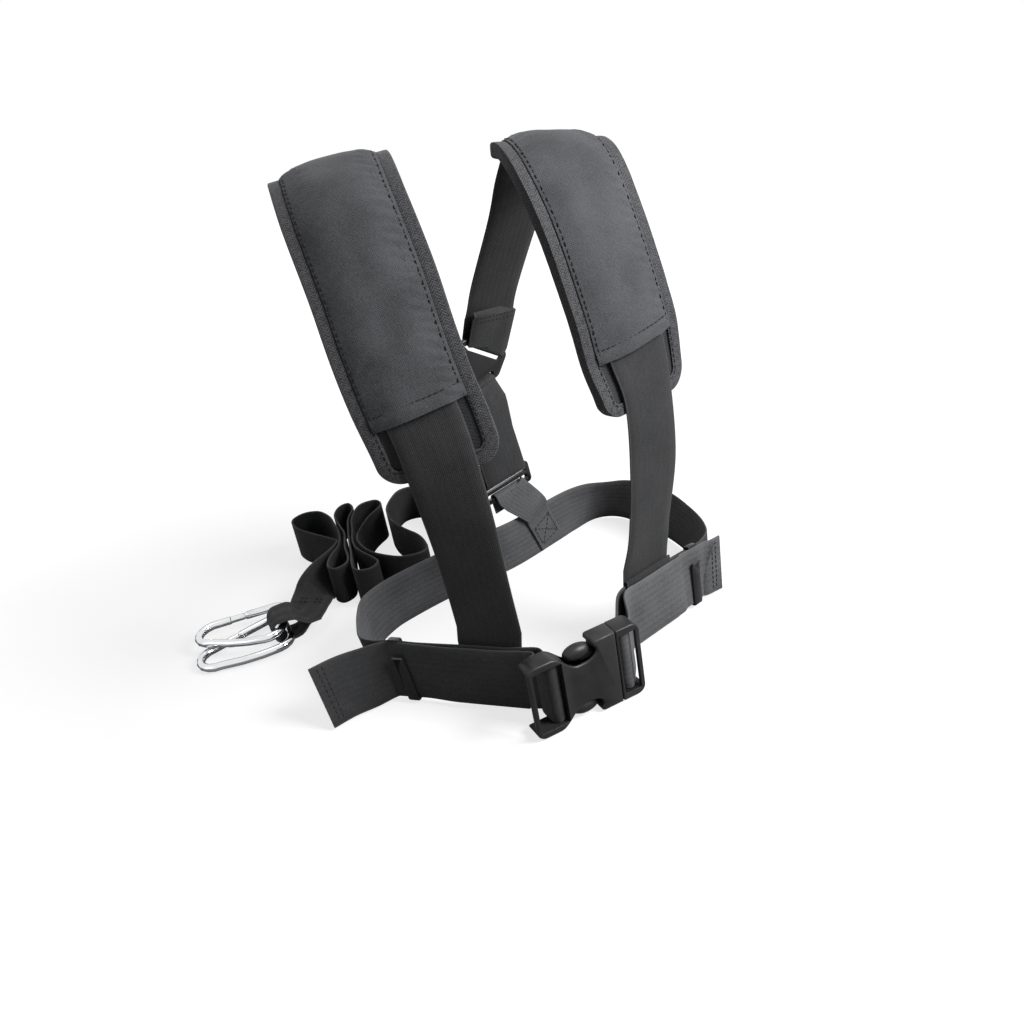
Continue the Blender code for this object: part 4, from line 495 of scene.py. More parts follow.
def ribbon(name, route, mat, width=WEBBING_WIDTH, thickness=WEBBING_THICKNESS, taper=None, shape=None,
           columns=6, replaced=(), inside=None, painted_sheen_from=0.0):
    """Webbing along a route; shape adds a height to each point, inside is a paler copy of the cloth for the
    wearer's side, painted sheen and light on those faces
    """
    section = strip_profile(width, thickness, columns)
    rings = []
    for i, (p, w, n) in enumerate(zip(route.p, route.w, route.n)):
        k = taper[i] if taper else 1
        lift = shape if shape else lambda s, x: 0.0
        rings.append([p + w * x * k + n * (y + lift(route.s[i], x / width)) for x, y in section])
    bm = new_mesh()
    sweep(bm, rings, route.s, [x for x, y in section])
    # From the given distance on, the wearer's side takes the paler cloth: painted sheen and light
    if inside:
        bm.faces.ensure_lookup_table()
        for index, face in enumerate(bm.faces):
            inward = index % len(section) < columns + 2
            face.material_index = int(inward and route.s[index // len(section)] > painted_sheen_from)
    made = place_mesh(name, bm, mat)
    if inside:
        made.data.materials.append(inside)
    if replaced:
        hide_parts(*replaced)
    return made


# Main run of the belt

U_AXIS = heading(math.radians(23))
BUCKLE_PLACE = Vector((0.0288, -0.1242, 0.0310))
WRAP_RADIUS = 0.0045
FEMALE_BAR = BUCKLE_PLACE - U_AXIS * 0.0250
MALE_BAR = BUCKLE_PLACE + U_AXIS * 0.0354
FEMALE_LEAVING = math.radians(122)
MALE_LEAVING = math.radians(75)
FEMALE_LEAD = (0, 0.0052, 0.0104)
MALE_LEAD = (0.0172, 0.0080, 0)
BELT_STEPS = 8
STRAP_STEPS = 16
PULL_STEPS = 6
FOLD_STEPS = 16
LOOP_OFFSET = WEBBING_THICKNESS + LAYER_GAP
TAIL_OVER_LOOP = 2 * LOOP_OFFSET + LAYER_GAP
TAIL_AT_KEEPER = LOOP_OFFSET + TOUCH_GAP
HALF_STRAP = WEBBING_WIDTH / 2
EASE_REACH = 0.012
EASE_RISE = 1.2
LOOP_MARGIN = 0.004
LOOP_LEFT_PLACE = (-0.0352, -0.1000)
LOOP_RIGHT_PLACE = (0.0972, -0.0404)
KEEPER_LEFT_PLACE = (-0.1024, -0.0700)
KEEPER_RIGHT_PLACE = (0.1352, -0.0116)
TAB_PLACE = (0.0340, 0.1272)

female_out = heading(FEMALE_LEAVING + RIGHT_ANGLE)
male_out = heading(MALE_LEAVING - RIGHT_ANGLE)


def lead(start, angle, distance):
    return [*(start + heading(angle) * distance), 0, 0]


belt_rows = [lead(FEMALE_BAR - female_out * WRAP_RADIUS, FEMALE_LEAVING, d) for d in FEMALE_LEAD]
belt_rows += BELT_ROUTE
belt_rows += [lead(MALE_BAR - male_out * WRAP_RADIUS, MALE_LEAVING, d) for d in MALE_LEAD]
belt_smooth = curve_through(belt_rows, BELT_STEPS)
main = Route([r[:3] for r in belt_smooth], [(r[3], r[4], 1) for r in belt_smooth])
MAIN_LENGTH = main.length()


def wrap(centre, start):
    return [(centre + heading(start + math.pi * k / FOLD_STEPS) * WRAP_RADIUS, UP)
            for k in range(1, FOLD_STEPS)]


def eased(s, marks):
    """A value that eases between marks of (distance, value)"""
    if s <= marks[0][0]:
        return marks[0][1]
    for (a, va), (b, vb) in zip(marks, marks[1:]):
        if s <= b:
            f = (s - a) / (b - a)
            f = f * f * (3 - 2 * f)
            return va + (vb - va) * f
    return marks[-1][1]


def nearest_s(place):
    x, y = place
    steps = int(MAIN_LENGTH / WEBBING_THICKNESS)
    return min((MAIN_LENGTH * k / steps for k in range(steps)),
               key=lambda s: (main.at(s)[0].x - x) ** 2 + (main.at(s)[0].y - y) ** 2)


left_loop_s, right_loop_s = nearest_s(LOOP_LEFT_PLACE), nearest_s(LOOP_RIGHT_PLACE)
left_keeper_s, right_keeper_s = nearest_s(KEEPER_LEFT_PLACE), nearest_s(KEEPER_RIGHT_PLACE)
tab_s = nearest_s(TAB_PLACE)
left_marks = [
    (0.0, 2 * WRAP_RADIUS), (left_loop_s - HALF_STRAP - EASE_REACH / 2, TAIL_OVER_LOOP * EASE_RISE),
    (left_loop_s - HALF_STRAP, TAIL_OVER_LOOP), (left_loop_s + HALF_STRAP + LOOP_MARGIN, TAIL_OVER_LOOP),
    (left_keeper_s - EASE_REACH, TAIL_AT_KEEPER), (left_keeper_s + EASE_REACH, TAIL_AT_KEEPER)]
right_marks = [
    (right_keeper_s - EASE_REACH, TAIL_AT_KEEPER), (right_keeper_s + EASE_REACH, TAIL_AT_KEEPER),
    (right_loop_s - HALF_STRAP - LOOP_MARGIN, TAIL_OVER_LOOP),
    (right_loop_s + HALF_STRAP + LOOP_MARGIN, TAIL_OVER_LOOP),
    (MAIN_LENGTH - EASE_REACH, 2 * WRAP_RADIUS), (MAIN_LENGTH, 2 * WRAP_RADIUS)]


def parallel(marks, first, last):
    return [(main.p[i] + main.n[i] * eased(main.s[i], marks), main.w[i])
            for i in range(len(main.p)) if first < main.s[i] < last]


left_parallel = parallel(left_marks, EASE_REACH / 2, left_keeper_s + EASE_REACH)
right_parallel = parallel(right_marks, right_keeper_s - EASE_REACH, MAIN_LENGTH - EASE_REACH / 2)


def tail_points(laid, rows):
    """The free end of a tail, smoothed on from two parallel points"""
    (a, wa), (b, wb) = laid
    start = [[*a, wa.x / wa.z, wa.y / wa.z], [*b, wb.x / wb.z, wb.y / wb.z]]
    smooth = curve_through(start + rows, BELT_STEPS)[BELT_STEPS + 1:]
    return [(Vector(r[:3]), Vector((r[3], r[4], 1))) for r in smooth]


left_free = tail_points((left_parallel[-1 - BELT_STEPS], left_parallel[-1]), TAIL_LEFT_ROUTE)
right_free = tail_points((right_parallel[BELT_STEPS], right_parallel[0]), TAIL_RIGHT_ROUTE)
belt_run = [*reversed(left_free), *reversed(left_parallel), (FEMALE_BAR + female_out * WRAP_RADIUS, UP)]
belt_run += wrap(FEMALE_BAR, FEMALE_LEAVING + RIGHT_ANGLE)
main_from = len(belt_run)
belt_run += list(zip(main.p, main.w))
belt_run += wrap(MALE_BAR, MALE_LEAVING + RIGHT_ANGLE)
belt_run += [(MALE_BAR + male_out * WRAP_RADIUS, UP), *reversed(right_parallel), *right_free]
belt = Route([q for q, w in belt_run], [w for q, w in belt_run])
# The left tail, in shade, keeps the dark webbing; from the main run on, the inner faces take the paler copy,
# painted sheen and light
ribbon("belt", belt, belt_web, replaced=["waist_belt"], inside=belt_web_painted_sheen, painted_sheen_from=belt.s[main_from])


# Yoke's and slider's axes

YOKE_PLACE = Vector((-0.0145, 0.1100, 0.1930))
YOKE_YAW, YOKE_LEAN, YOKE_ROLL, YOKE_SLOPE = (math.radians(v) for v in (42, 15, 12, 44))
YOKE_TURN = 0.0040
YOKE_RETURN = 0.022
UPPER_BAR_OUT, UPPER_BAR_UP, LOWER_BAR_DOWN = 0.0225, 0.0135, 0.0225
SLIDER_PLACE = Vector((-0.0010, 0.1030, 0.0860))
SLIDER_YAW, SLIDER_LEAN = math.radians(42), math.radians(8)
SLIDER_BAR, SLIDER_TURN = 0.0080, 0.0041
STRAP_RETURN = 0.018
TAB_RETURN = STRAP_RETURN * 0.8
# Distance back along the belt, share of its width up, clearance, lean of the across, share of the width
TAB_ON_BELT = ((0.0215, 0.56, 0.0040, 0.39, 0.60), (0.0170, 0.34, 0.0026, 0.39, 0.56),
               (0.0110, 0.06, 0.0026, 0.39, 0.56), (0.0065, -0.16, 0.0026, 0.39, 0.56),
               (0.0025, -0.36, 0.0026, 0.39, 0.56))
TAB_AT_BAR = 0.72
BACK_LEG_SHARES = (0.12, 0.25, 0.42, 0.6, 0.8, 1.0)
BACK_LEG_DROP = 0.25

side, front = heading(YOKE_YAW), heading(YOKE_YAW - RIGHT_ANGLE)
yoke_up = (UP * math.cos(YOKE_LEAN) + front * math.sin(YOKE_LEAN)).normalized()
yoke_face = side.cross(yoke_up).normalized()
yoke_side = side * math.cos(YOKE_ROLL) + yoke_up * math.sin(YOKE_ROLL)
yoke_up = yoke_up * math.cos(YOKE_ROLL) - side * math.sin(YOKE_ROLL)
slider_side = heading(SLIDER_YAW)
slider_front = heading(SLIDER_YAW - RIGHT_ANGLE)
slider_up = (UP * math.cos(SLIDER_LEAN) - slider_front * math.sin(SLIDER_LEAN)).normalized()
slider_face = slider_side.cross(slider_up).normalized()


def turn_round_bar(centre, along, away, outward, radius, back_length):
    """Down the outward side of a bar, round it, and back up behind as a short sewn leg"""
    turns = [math.pi * k / FOLD_STEPS for k in range(FOLD_STEPS + 1)]
    points = [centre + outward * math.cos(a) * radius - away * math.sin(a) * radius for a in turns]
    points += [centre + away * back_length * f - outward * radius * (1 - BACK_LEG_DROP * f)
               for f in BACK_LEG_SHARES]
    return [(q, along) for q in points]


def leaning(rows, steps):
    """Smoothed rows with the yaw and tilt of the width in degrees"""
    out = []
    for r in curve_through(rows, steps):
        yaw, tilt = math.radians(r[3]), math.radians(r[4])
        out.append((Vector(r[:3]), Vector((math.cos(yaw) * math.cos(tilt), math.sin(yaw) * math.cos(tilt),
                                           math.sin(tilt)))))
    return out


# Shoulder straps

LOOP_TURN_DROP = 0.0004
LOOP_PARTS = 5
LEG_STEPS = 6
LEG_SKIPPED = 2
LEG_LIFT = 0.0021
LEG_EASE = 0.6
LEG_EASE_STEPS = 3
LOOP_END_RISE = {-1: -0.0030, 1: 0.0045}


def loop_on_belt(s, end_rise):
    """The strap's turn under the belt, from its short outer end to its inner leg"""
    p, t, w, n = main.at(s)
    turn = HALF_STRAP + LOOP_TURN_DROP
    leg = range(-LOOP_PARTS, LOOP_PARTS + 1)
    heights = [HALF_STRAP + end_rise] + [HALF_STRAP * k / LOOP_PARTS for k in reversed(leg[:-1])]
    points = [p + w * v + n * LOOP_OFFSET for v in heights]
    for k in range(FOLD_STEPS + 1):
        a = math.pi * k / FOLD_STEPS
        points.append(p - w * (turn + math.sin(a) * LOOP_OFFSET) + n * math.cos(a) * LOOP_OFFSET)
    points += [p + w * HALF_STRAP * k / LOOP_PARTS - n * LOOP_OFFSET for k in leg]
    return [(q, -t) for q in points]


def strap_run(rows, loop_s, hand):
    """From the loop on the belt to the yoke's upper bar, and how many points the loop has"""
    start = loop_on_belt(loop_s, LOOP_END_RISE[hand])
    bar = YOKE_PLACE + yoke_side * UPPER_BAR_OUT * hand + yoke_up * UPPER_BAR_UP
    along = yoke_side * math.cos(YOKE_SLOPE) - yoke_up * math.sin(YOKE_SLOPE) * hand
    upward = yoke_up * math.cos(YOKE_SLOPE) + yoke_side * math.sin(YOKE_SLOPE) * hand
    free = leaning(rows, STRAP_STEPS)
    turn = turn_round_bar(bar, along.normalized(), upward.normalized(), -yoke_face, YOKE_TURN, YOKE_RETURN)
    run = start + free + turn[:FOLD_STEPS + 1]
    leg = list(reversed(free[-LEG_STEPS:]))[LEG_SKIPPED:]
    for k, (q, w) in enumerate(leg):
        lift = LEG_LIFT + (2 * YOKE_TURN - LEG_LIFT) * max(0.0, 1 - k / LEG_EASE_STEPS) * LEG_EASE
        run.append((q + yoke_face * lift, w))
    return Route([q for q, w in run], [w for q, w in run]), len(start)


strap_left, left_start = strap_run(STRAP_LEFT_ROUTE, left_loop_s, -1)
strap_right, right_start = strap_run(STRAP_RIGHT_ROUTE, right_loop_s, 1)
ribbon("strap_left", strap_left, strap_web, replaced=["shoulder_strap_left"])
ribbon("strap_right", strap_right, strap_web, replaced=["shoulder_strap_right"])


# Stitches: rows of short rounded threads that sink at both ends

STITCH_LENGTH = 0.0034
STITCH_PITCH = 0.0044
STITCH_RADIUS = 0.00042
STITCH_SIDES = 6
# Place along a stitch, height and thickness, as shares of its half length and radius
STITCH_SHARES = ((-1.0, -0.9, 0.35), (-0.8, 0.15, 0.9), (0.0, 0.55, 1.0), (0.8, 0.15, 0.9),
                 (1.0, -0.9, 0.35))


def stitch(bm, centre, ahead, outward):
    sideways = ahead.cross(outward).normalized()
    turns = [2 * math.pi * k / STITCH_SIDES for k in range(STITCH_SIDES)]
    rings = []
    for f, rise, swell in STITCH_SHARES:
        hub = centre + ahead * f * STITCH_LENGTH / 2 + outward * rise * STITCH_RADIUS
        rings.append([hub + (sideways * math.cos(a) + outward * math.sin(a)) * STITCH_RADIUS * swell
                      for a in turns])
    sweep(bm, rings, [STITCH_LENGTH * (f + 1) / 2 for f, rise, swell in STITCH_SHARES],
          [STITCH_RADIUS * k for k in range(STITCH_SIDES)])


def stitch_line(bm, points, outwards):
    """A row of stitches along a line of points"""
    walked = 0.0
    due = STITCH_PITCH / 2
    for a, b, out in zip(points, points[1:], outwards):
        gap = (b - a).length
        while gap > 0 and walked + gap >= due:
            ahead = (b - a).normalized()
            stitch(bm, a + ahead * (due - walked), ahead, out)
            due += STITCH_PITCH
        walked += gap


def stitches_on(route, bm, corners, lift):
    """Stitches along straight lines between (distance along, across) corners of a strip"""
    for (s0, x0), (s1, x1) in zip(corners, corners[1:]):
        count = max(int(math.hypot(s1 - s0, x1 - x0) / (STITCH_PITCH / 4)), 2)
        spots = [(s0 + (s1 - s0) * k / count, x0 + (x1 - x0) * k / count) for k in range(count + 1)]
        points = [route.put(s, x, lift) for s, x in spots]
        outs = [route.at(s)[3] * math.copysign(1, lift) for s, x in spots]
        stitch_line(bm, points, outs)


def box_with_cross(route, bm, s0, s1, half, lift):
    stitches_on(route, bm, [(s0, -half), (s1, -half), (s1, half), (s0, half), (s0, -half)], lift)
    stitches_on(route, bm, [(s0, -half), (s1, half)], lift)
    stitches_on(route, bm, [(s0, half), (s1, -half)], lift)


# Pads

BINDING_THICKNESS = 0.0008
BINDING_LEG = 0.0105
BINDING_GAP = 0.0006
PAD_CORNER = 0.016
LINING_TOP = -(FACE + LAYER_GAP + BINDING_THICKNESS + TOUCH_GAP + BINDING_GAP)
LINING_THICKNESS = 0.0065
COVER_HALF = 0.0335
COVER_THICKNESS = 0.0018
COVER_HEIGHT = 0.0054
COVER_SOFTNESS = 2.4
COVER_EDGE = 0.3
COVER_REAR_INSET = 0.012
COVER_SEAM_INSET = 0.0022
HEM_INSET = 0.044
PAD_STEP = 0.0025
CORNER_STEPS = 12
PUCKER = 0.0016
PUCKER_PITCH = 0.0085
PUCKER_REACH = 0.016
WRINKLE = 0.0017
HEM_RISE = 0.0007
HEM_FROM, HEM_TO = 0.0015, 0.0095
HEM_SEAM = 0.0100
HEM_SEAM_STEPS = 60
COVER_COLUMNS = 20
LINING_COLUMNS = 8
SEAM_FROM_LEG = 0.0017
SEAM_SHARE = 0.9
LINING_ROUND = 0.3
LINING_SWELL = 0.10
# Index of the tape's upper outer corner in its channel, along which its length is measured
TAPE_CORNER = 5
# Waves for each metre along and across in the cloths' unevenness
LINING_WAVES, TAPE_WAVES = 60, 90
DRIFT_ALONG, DRIFT_ACROSS = 40, 9
SAG_ALONG, SAG_ACROSS = 30, 40
COVER_BASE = LINING_TOP + BINDING_GAP + BINDING_THICKNESS + TOUCH_GAP


def stations(start, end, step=PAD_STEP):
    count = max(int((end - start) / step), 1)
    return [start + (end - start) * k / count for k in range(count + 1)]


def pad_outline(start, end, half, corner):
    """Stations of a pad with round corners: (distance along, half width)"""
    rows = []
    for k in range(CORNER_STEPS):
        near = corner * (1 - math.cos(RIGHT_ANGLE * k / CORNER_STEPS))
        wide = half - corner + corner * math.sin(RIGHT_ANGLE * k / CORNER_STEPS)
        rows += [(start + near, wide), (end - near, wide)]
    rows += [(s, half) for s in stations(start + corner, end - corner)]
    return sorted(rows)


def lining(label, route, start, end):
    half = PAD_WIDTH / 2 - BINDING_THICKNESS - TOUCH_GAP
    bottom = LINING_TOP - LINING_THICKNESS
    soft = LINING_THICKNESS * LINING_ROUND
    inset = BINDING_THICKNESS + TOUCH_GAP
    rings, along = [], []
    for s, w in pad_outline(start + inset, end - inset, half, PAD_CORNER - inset):
        flat = w - BINDING_LEG
        belly = [(-flat + 2 * flat * k / LINING_COLUMNS, bottom) for k in range(LINING_COLUMNS + 1)]
        crown = [(flat - 2 * flat * k / LINING_COLUMNS, LINING_TOP) for k in range(LINING_COLUMNS + 1)]
        section = [(-w, bottom + soft), (-w + soft * 0.3, bottom + soft * 0.3), (-w + soft, bottom)] + belly
        section += [(w - soft, bottom), (w - soft * 0.3, bottom + soft * 0.3), (w, bottom + soft)]
        section += [(w, LINING_TOP - soft / 2), (w - soft / 2, LINING_TOP)] + crown
        section += [(-w + soft / 2, LINING_TOP), (-w, LINING_TOP - soft / 2)]
        ring = []
        for x, h in section:
            inside = max(0.0, 1 - abs(x) / max(w - BINDING_LEG, PAD_STEP)) ** 0.5
            wave = noise.noise(Vector((s * LINING_WAVES, x * LINING_WAVES, 0))) * WRINKLE * inside
            swell = wave - LINING_THICKNESS * LINING_SWELL * inside if h == bottom else 0.0
            ring.append(route.put(s, x, h + swell))
        rings.append(ring)
        along.append(s)
    bm = new_mesh()
    sweep(bm, rings, along, [x for x, h in section])
    made = place_mesh("lining_" + label, bm, lining_cloth)
    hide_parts("pad_lining_" + label)


def border_of(start, end, half, corner):
    """The pad's edge all the way round, as (distance along, across, outward direction)"""
    side = pad_outline(start, end, half, corner)
    out = []
    for s, w in side + [(s, -w) for s, w in reversed(side)]:
        hub = (min(max(s, start + corner), end - corner), math.copysign(half - corner, w))
        if start + corner <= s <= end - corner:
            hub = (s, 0)
        out.append((s, w, Vector((s - hub[0], w - hub[1])).normalized()))
    return out


def binding(label, route, start, end):
    top = LINING_TOP + BINDING_GAP
    bottom = LINING_TOP - LINING_THICKNESS - BINDING_GAP
    t = BINDING_THICKNESS
    r = t * 1.4
    channel = [
        (-BINDING_LEG, top + t * 0.75), (-BINDING_LEG + t * 0.4, top + t), (-BINDING_LEG * 0.6, top + t),
        (-r * 1.6, top + t), (-r * 0.5, top + t * 0.75), (0, top - r * 0.4), (t * 0.15, (top + bottom) / 2),
        (0, bottom + r * 0.4), (-r * 0.5, bottom - t * 0.75), (-r * 1.6, bottom - t),
        (-BINDING_LEG * 0.6, bottom - t), (-BINDING_LEG, bottom - t), (-BINDING_LEG, bottom),
        (-t * 1.5, bottom), (-t, bottom + t / 2), (-t, top - t / 2), (-t * 1.5, top), (-BINDING_LEG, top)]
    across = [0.0]
    for a, b in zip(channel, channel[1:]):
        across.append(across[-1] + math.dist(a, b))
    rings, along, seam, outs, walked = [], [], [], [], 0.0
    for s, w, away in border_of(start, end, PAD_WIDTH / 2, PAD_CORNER):
        ring = []
        for o, h in channel:
            ripple = noise.noise(Vector((s * TAPE_WAVES, w * TAPE_WAVES, h * TAPE_WAVES))) * t * 0.25
            ring.append(route.put(s + away.x * o, w + away.y * o, h + ripple))
        if rings:
            walked += (ring[TAPE_CORNER] - rings[-1][TAPE_CORNER]).length
        rings.append(ring)
        along.append(walked)
        inset = -BINDING_LEG + SEAM_FROM_LEG
        seam.append(route.put(s + away.x * inset, w + away.y * inset, top + t))
        outs.append(route.at(s)[3])
    bm = new_mesh()
    sweep(bm, rings, along, across, closed=True)
    made = place_mesh("binding_" + label, bm, binding_tape)
    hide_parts("pad_binding_" + label)
    return seam + seam[:1], outs + outs[:1]


def pillow(x):
    """The cover's height above its seams"""
    return COVER_HEIGHT * (1 - (abs(x) / COVER_HALF) ** COVER_SOFTNESS)


def cover(label, route, start, end):
    """A sleeve over the strap: low and puckered along its seams, crowned between them"""
    raised = FACE + LAYER_GAP
    inner = HALF_STRAP + 2 * LAYER_GAP
    lift = inner + (raised - COVER_BASE)
    low = [(-COVER_HALF, COVER_BASE), (-lift, COVER_BASE), (-inner, raised), (0, raised),
           (inner, raised), (lift, COVER_BASE)]
    rings, along = [], []
    for s in stations(start + HEM_INSET, end - COVER_REAR_INSET):
        from_hem = s - start - HEM_INSET
        hem = HEM_RISE if HEM_FROM < from_hem < HEM_TO else 0.0
        section = list(low)
        for k in range(COVER_COLUMNS + 1):
            x = COVER_HALF * (1 - 2 * k / COVER_COLUMNS)
            swell = pillow(x)
            near = max(0.0, 1 - (COVER_HALF - abs(x)) / PUCKER_REACH)
            drift = 4 * noise.noise(Vector((s * DRIFT_ALONG, x * DRIFT_ACROSS, 1)))
            phase = 2 * math.pi * (s + abs(x) * 0.5) / PUCKER_PITCH + drift
            fold = PUCKER * near * (1 - near) * 4 * math.sin(phase) * 0.6
            sag = WRINKLE * noise.noise(Vector((s * SAG_ALONG, x * SAG_ACROSS, 5))) * (1 - near)
            section.append((x, COVER_BASE + COVER_THICKNESS * COVER_EDGE + swell + fold + sag + hem))
        rings.append([route.put(s, x, h) for x, h in section])
        along.append(s)
    bm = new_mesh()
    sweep(bm, rings, along, [x for x, h in section])
    made = place_mesh("cover_" + label, bm, cover_cloth)
    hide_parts("pad_cover_" + label)


def pad(label, route, first_point, start_row, start_back, end_row):
    start = route.s[first_point + start_row * STRAP_STEPS] - start_back
    whole = int(end_row)
    index = first_point + whole * STRAP_STEPS
    end = route.s[index] + (end_row - whole) * (route.s[index + STRAP_STEPS] - route.s[index])
    lining(label, route, start, end)
    seam, outs = binding(label, route, start, end)
    cover(label, route, start, end)
    bm = new_mesh()
    stitch_line(bm, seam, outs)
    hem_s = start + HEM_INSET + HEM_SEAM
    base = COVER_BASE + COVER_THICKNESS * COVER_EDGE
    edge = COVER_HALF - COVER_SEAM_INSET
    rows = stations(start + HEM_INSET, end - COVER_REAR_INSET)
    for x in (-edge, edge):
        stitch_line(bm, [route.put(s, x, base + pillow(x)) for s in rows], [route.at(s)[3] for s in rows])
    spots = [COVER_HALF * SEAM_SHARE * (2 * k / HEM_SEAM_STEPS - 1) for k in range(HEM_SEAM_STEPS + 1)]
    stitch_line(bm, [route.put(hem_s, x, base + pillow(x)) for x in spots], [route.at(hem_s)[3]] * len(spots))
    place_mesh("pad_stitches_" + label, bm, thread)


# Row of the strap's route where a pad starts, distance back from it, and the row where it ends
pad("left", strap_left, left_start, 4, 0.026, 10.15)
pad("right", strap_right, right_start, 3, 0.008, 9.75)


# Back strap and tab

yoke_end = turn_round_bar(YOKE_PLACE - yoke_up * LOWER_BAR_DOWN, yoke_side, -yoke_up, yoke_face, YOKE_TURN,
                          YOKE_RETURN)
slider_end = turn_round_bar(SLIDER_PLACE + slider_up * SLIDER_BAR, slider_side, slider_up, slider_face,
                            SLIDER_TURN, STRAP_RETURN)
run = list(reversed(yoke_end)) + leaning(BACK_STRAP_ROUTE, STRAP_STEPS) + slider_end
back = Route([q for q, w in run], [w for q, w in run])
ribbon("back_webbing", back, strap_web, replaced=["back_strap"])

tab_end = turn_round_bar(SLIDER_PLACE - slider_up * SLIDER_BAR, slider_side, -slider_up, slider_face,
                         SLIDER_TURN, TAB_RETURN)
tab_rows = [[*tab_end[0][0], *tab_end[0][1], TAB_AT_BAR]]
for back_along, up_share, clear, lean, taper in TAB_ON_BELT:
    p, t, w, n = main.at(tab_s - back_along)
    across = (t + w * lean).normalized()
    tab_rows.append([*(p + w * up_share * WEBBING_WIDTH - n * clear), *across, taper])
tab_smooth = [(Vector(r[:3]), Vector(r[3:6]), r[6]) for r in curve_through(tab_rows, BELT_STEPS)[1:]]
run = [(q, w, TAB_AT_BAR) for q, w in reversed(tab_end)] + tab_smooth
tab = Route([q for q, w, k in run], [w for q, w, k in run])
# The tab is drawn in the paler copy of the belt webbing, painted sheen and light
ribbon("tab_webbing", tab, belt_web_painted_sheen, taper=[k for q, w, k in run], replaced=["back_tab"])


# Pull strap

EYE_HEADING = math.radians(200)
EYE_SIDE = heading(EYE_HEADING - RIGHT_ANGLE)
EYE_AHEAD = heading(EYE_HEADING)
EYE_RADIUS = 0.0108
EYE_LENGTH = 0.0180
EYE_RETURN = 0.012
EYE_FOLD_AHEAD = 0.0062
EYE_ROUND = 0.7
EYE_BACK = 0.55
EYE_END_AT = 0.2
EYE_LOW = 0.2
# Share of the full width at the neck, at the top of the turn and under the eye
NECK_TAPER = 0.95
EYE_TOP_TAPER = 0.84
EYE_UNDER = 0.85
EYE_TOP_STEPS = 3
# Distance back from the eye's middle, height and share of the full width on the way to the turn
EYE_UPPER = ((0.45, 0.86, 0.93), (0.1, 1.0, 0.88))
NECK_DROP = 0.0045
GATHER = 0.0016
GATHER_RUN = 0.034
GATHER_LEAD = 0.014
GATHER_EASE_IN = 0.020
GATHER_EASE_OUT = 0.010
GATHER_LEFT = 0.15
GATHER_FOLDS = 2.5
PULL_COLUMNS = 16
EYE_STEPS = 4
EYE_TURNS = 8
EYE_MIDDLE = Vector((-0.2174, 0.0568, EYE_RADIUS + FACE))

pull_rows = [[*r, 0, 0, 1] for r in PULL_ROUTE] + PULL_RUN_ROUTE
pull_run = [(Vector(r[:3]), Vector(r[3:]), 1.0) for r in curve_through(pull_rows, PULL_STEPS)]
neck = EYE_MIDDLE - EYE_AHEAD * EYE_LENGTH + UP * EYE_RADIUS * EYE_LOW
eye_taper = EYE_WIDTH / PULL_WIDTH
eye = [(*pull_run[-1][0], *pull_run[-1][1], 1.0), (*neck, *EYE_SIDE, NECK_TAPER)]
for back_share, up_share, taper in EYE_UPPER:
    spot = EYE_MIDDLE - EYE_AHEAD * EYE_LENGTH * back_share + UP * EYE_RADIUS * up_share
    eye.append((*spot, *EYE_SIDE, taper))
for k in range(EYE_TURNS + 1):
    a = math.pi * k / EYE_TURNS
    spot = EYE_MIDDLE + EYE_AHEAD * (EYE_FOLD_AHEAD + math.sin(a) * EYE_RADIUS * EYE_ROUND)
    wide = (EYE_TOP_TAPER - eye_taper) * max(0.0, 1 - k / EYE_TOP_STEPS)
    eye.append((*(spot + UP * math.cos(a) * EYE_RADIUS), *EYE_SIDE, eye_taper + wide))
return_drop = NECK_DROP - EYE_RADIUS * EYE_LOW
for back_length, drop in ((EYE_LENGTH * EYE_BACK, EYE_RADIUS),
                          (EYE_LENGTH + EYE_RETURN * EYE_END_AT, return_drop),
                          (EYE_LENGTH + EYE_RETURN, return_drop)):
    eye.append((*(EYE_MIDDLE - EYE_AHEAD * back_length - UP * drop), *EYE_SIDE, eye_taper * EYE_UNDER))
pull_run += [(Vector(r[:3]), Vector(r[3:6]), r[6]) for r in curve_through(eye, EYE_STEPS)[1:]]
pull = Route([q for q, w, k in pull_run], [w for q, w, k in pull_run])
gather_from = pull.s[len(pull_run) - EYE_STEPS * (len(eye) - 1) - 1]


def gathered(s, share):
    """Lengthwise folds where the strap is drawn together round the hooks"""
    reach = min(max((s - gather_from + GATHER_LEAD) / GATHER_EASE_IN, 0.0), 1.0)
    reach *= min(max((gather_from + GATHER_RUN - s) / GATHER_EASE_OUT, GATHER_LEFT), 1.0)
    return GATHER * 0.5 * reach * math.cos(2 * math.pi * share * GATHER_FOLDS)


pull_taper = [k for q, w, k in pull_run]
pull_piece = ribbon("pull_webbing", pull, pull_web, PULL_WIDTH, WEBBING_THICKNESS, pull_taper,
                    gathered, PULL_COLUMNS, ["pull_strap"])


# Moulded and steel pieces keep the solids' shapes, with joined faces and smooth shading

WELD = 0.00002
FLAT_ANGLE = math.radians(0.5)


def refined(node, mat):
    """A smooth-shaded copy of a solid, in its place and on its body"""
    source = frame["nodes"][node]
    bm = bmesh.new()
    bm.from_mesh(source.data)
    bmesh.ops.remove_doubles(bm, verts=bm.verts, dist=WELD)
    bmesh.ops.dissolve_limit(bm, angle_limit=FLAT_ANGLE, verts=bm.verts, edges=bm.edges)
    made = place_mesh(node + "_skin", bm, mat, body_of(source)[0], Vector())
    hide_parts(node)
    return made


for node in ("buckle_female", "buckle_male", "buckle_prong_upper", "buckle_prong_lower"):
    refined(node, satin_black)
for node in ("back_yoke", "back_slider", "tail_keeper_left", "tail_keeper_right"):
    refined(node, gloss_black)
hooks = [refined(node, steel) for node in (
    "hook_front", "hook_rear", "gate_front", "gate_rear", "gate_pin_front", "gate_pin_rear")]


# Box and bar stitching on the webbing: the rows' half widths, and their distances from the strip's end

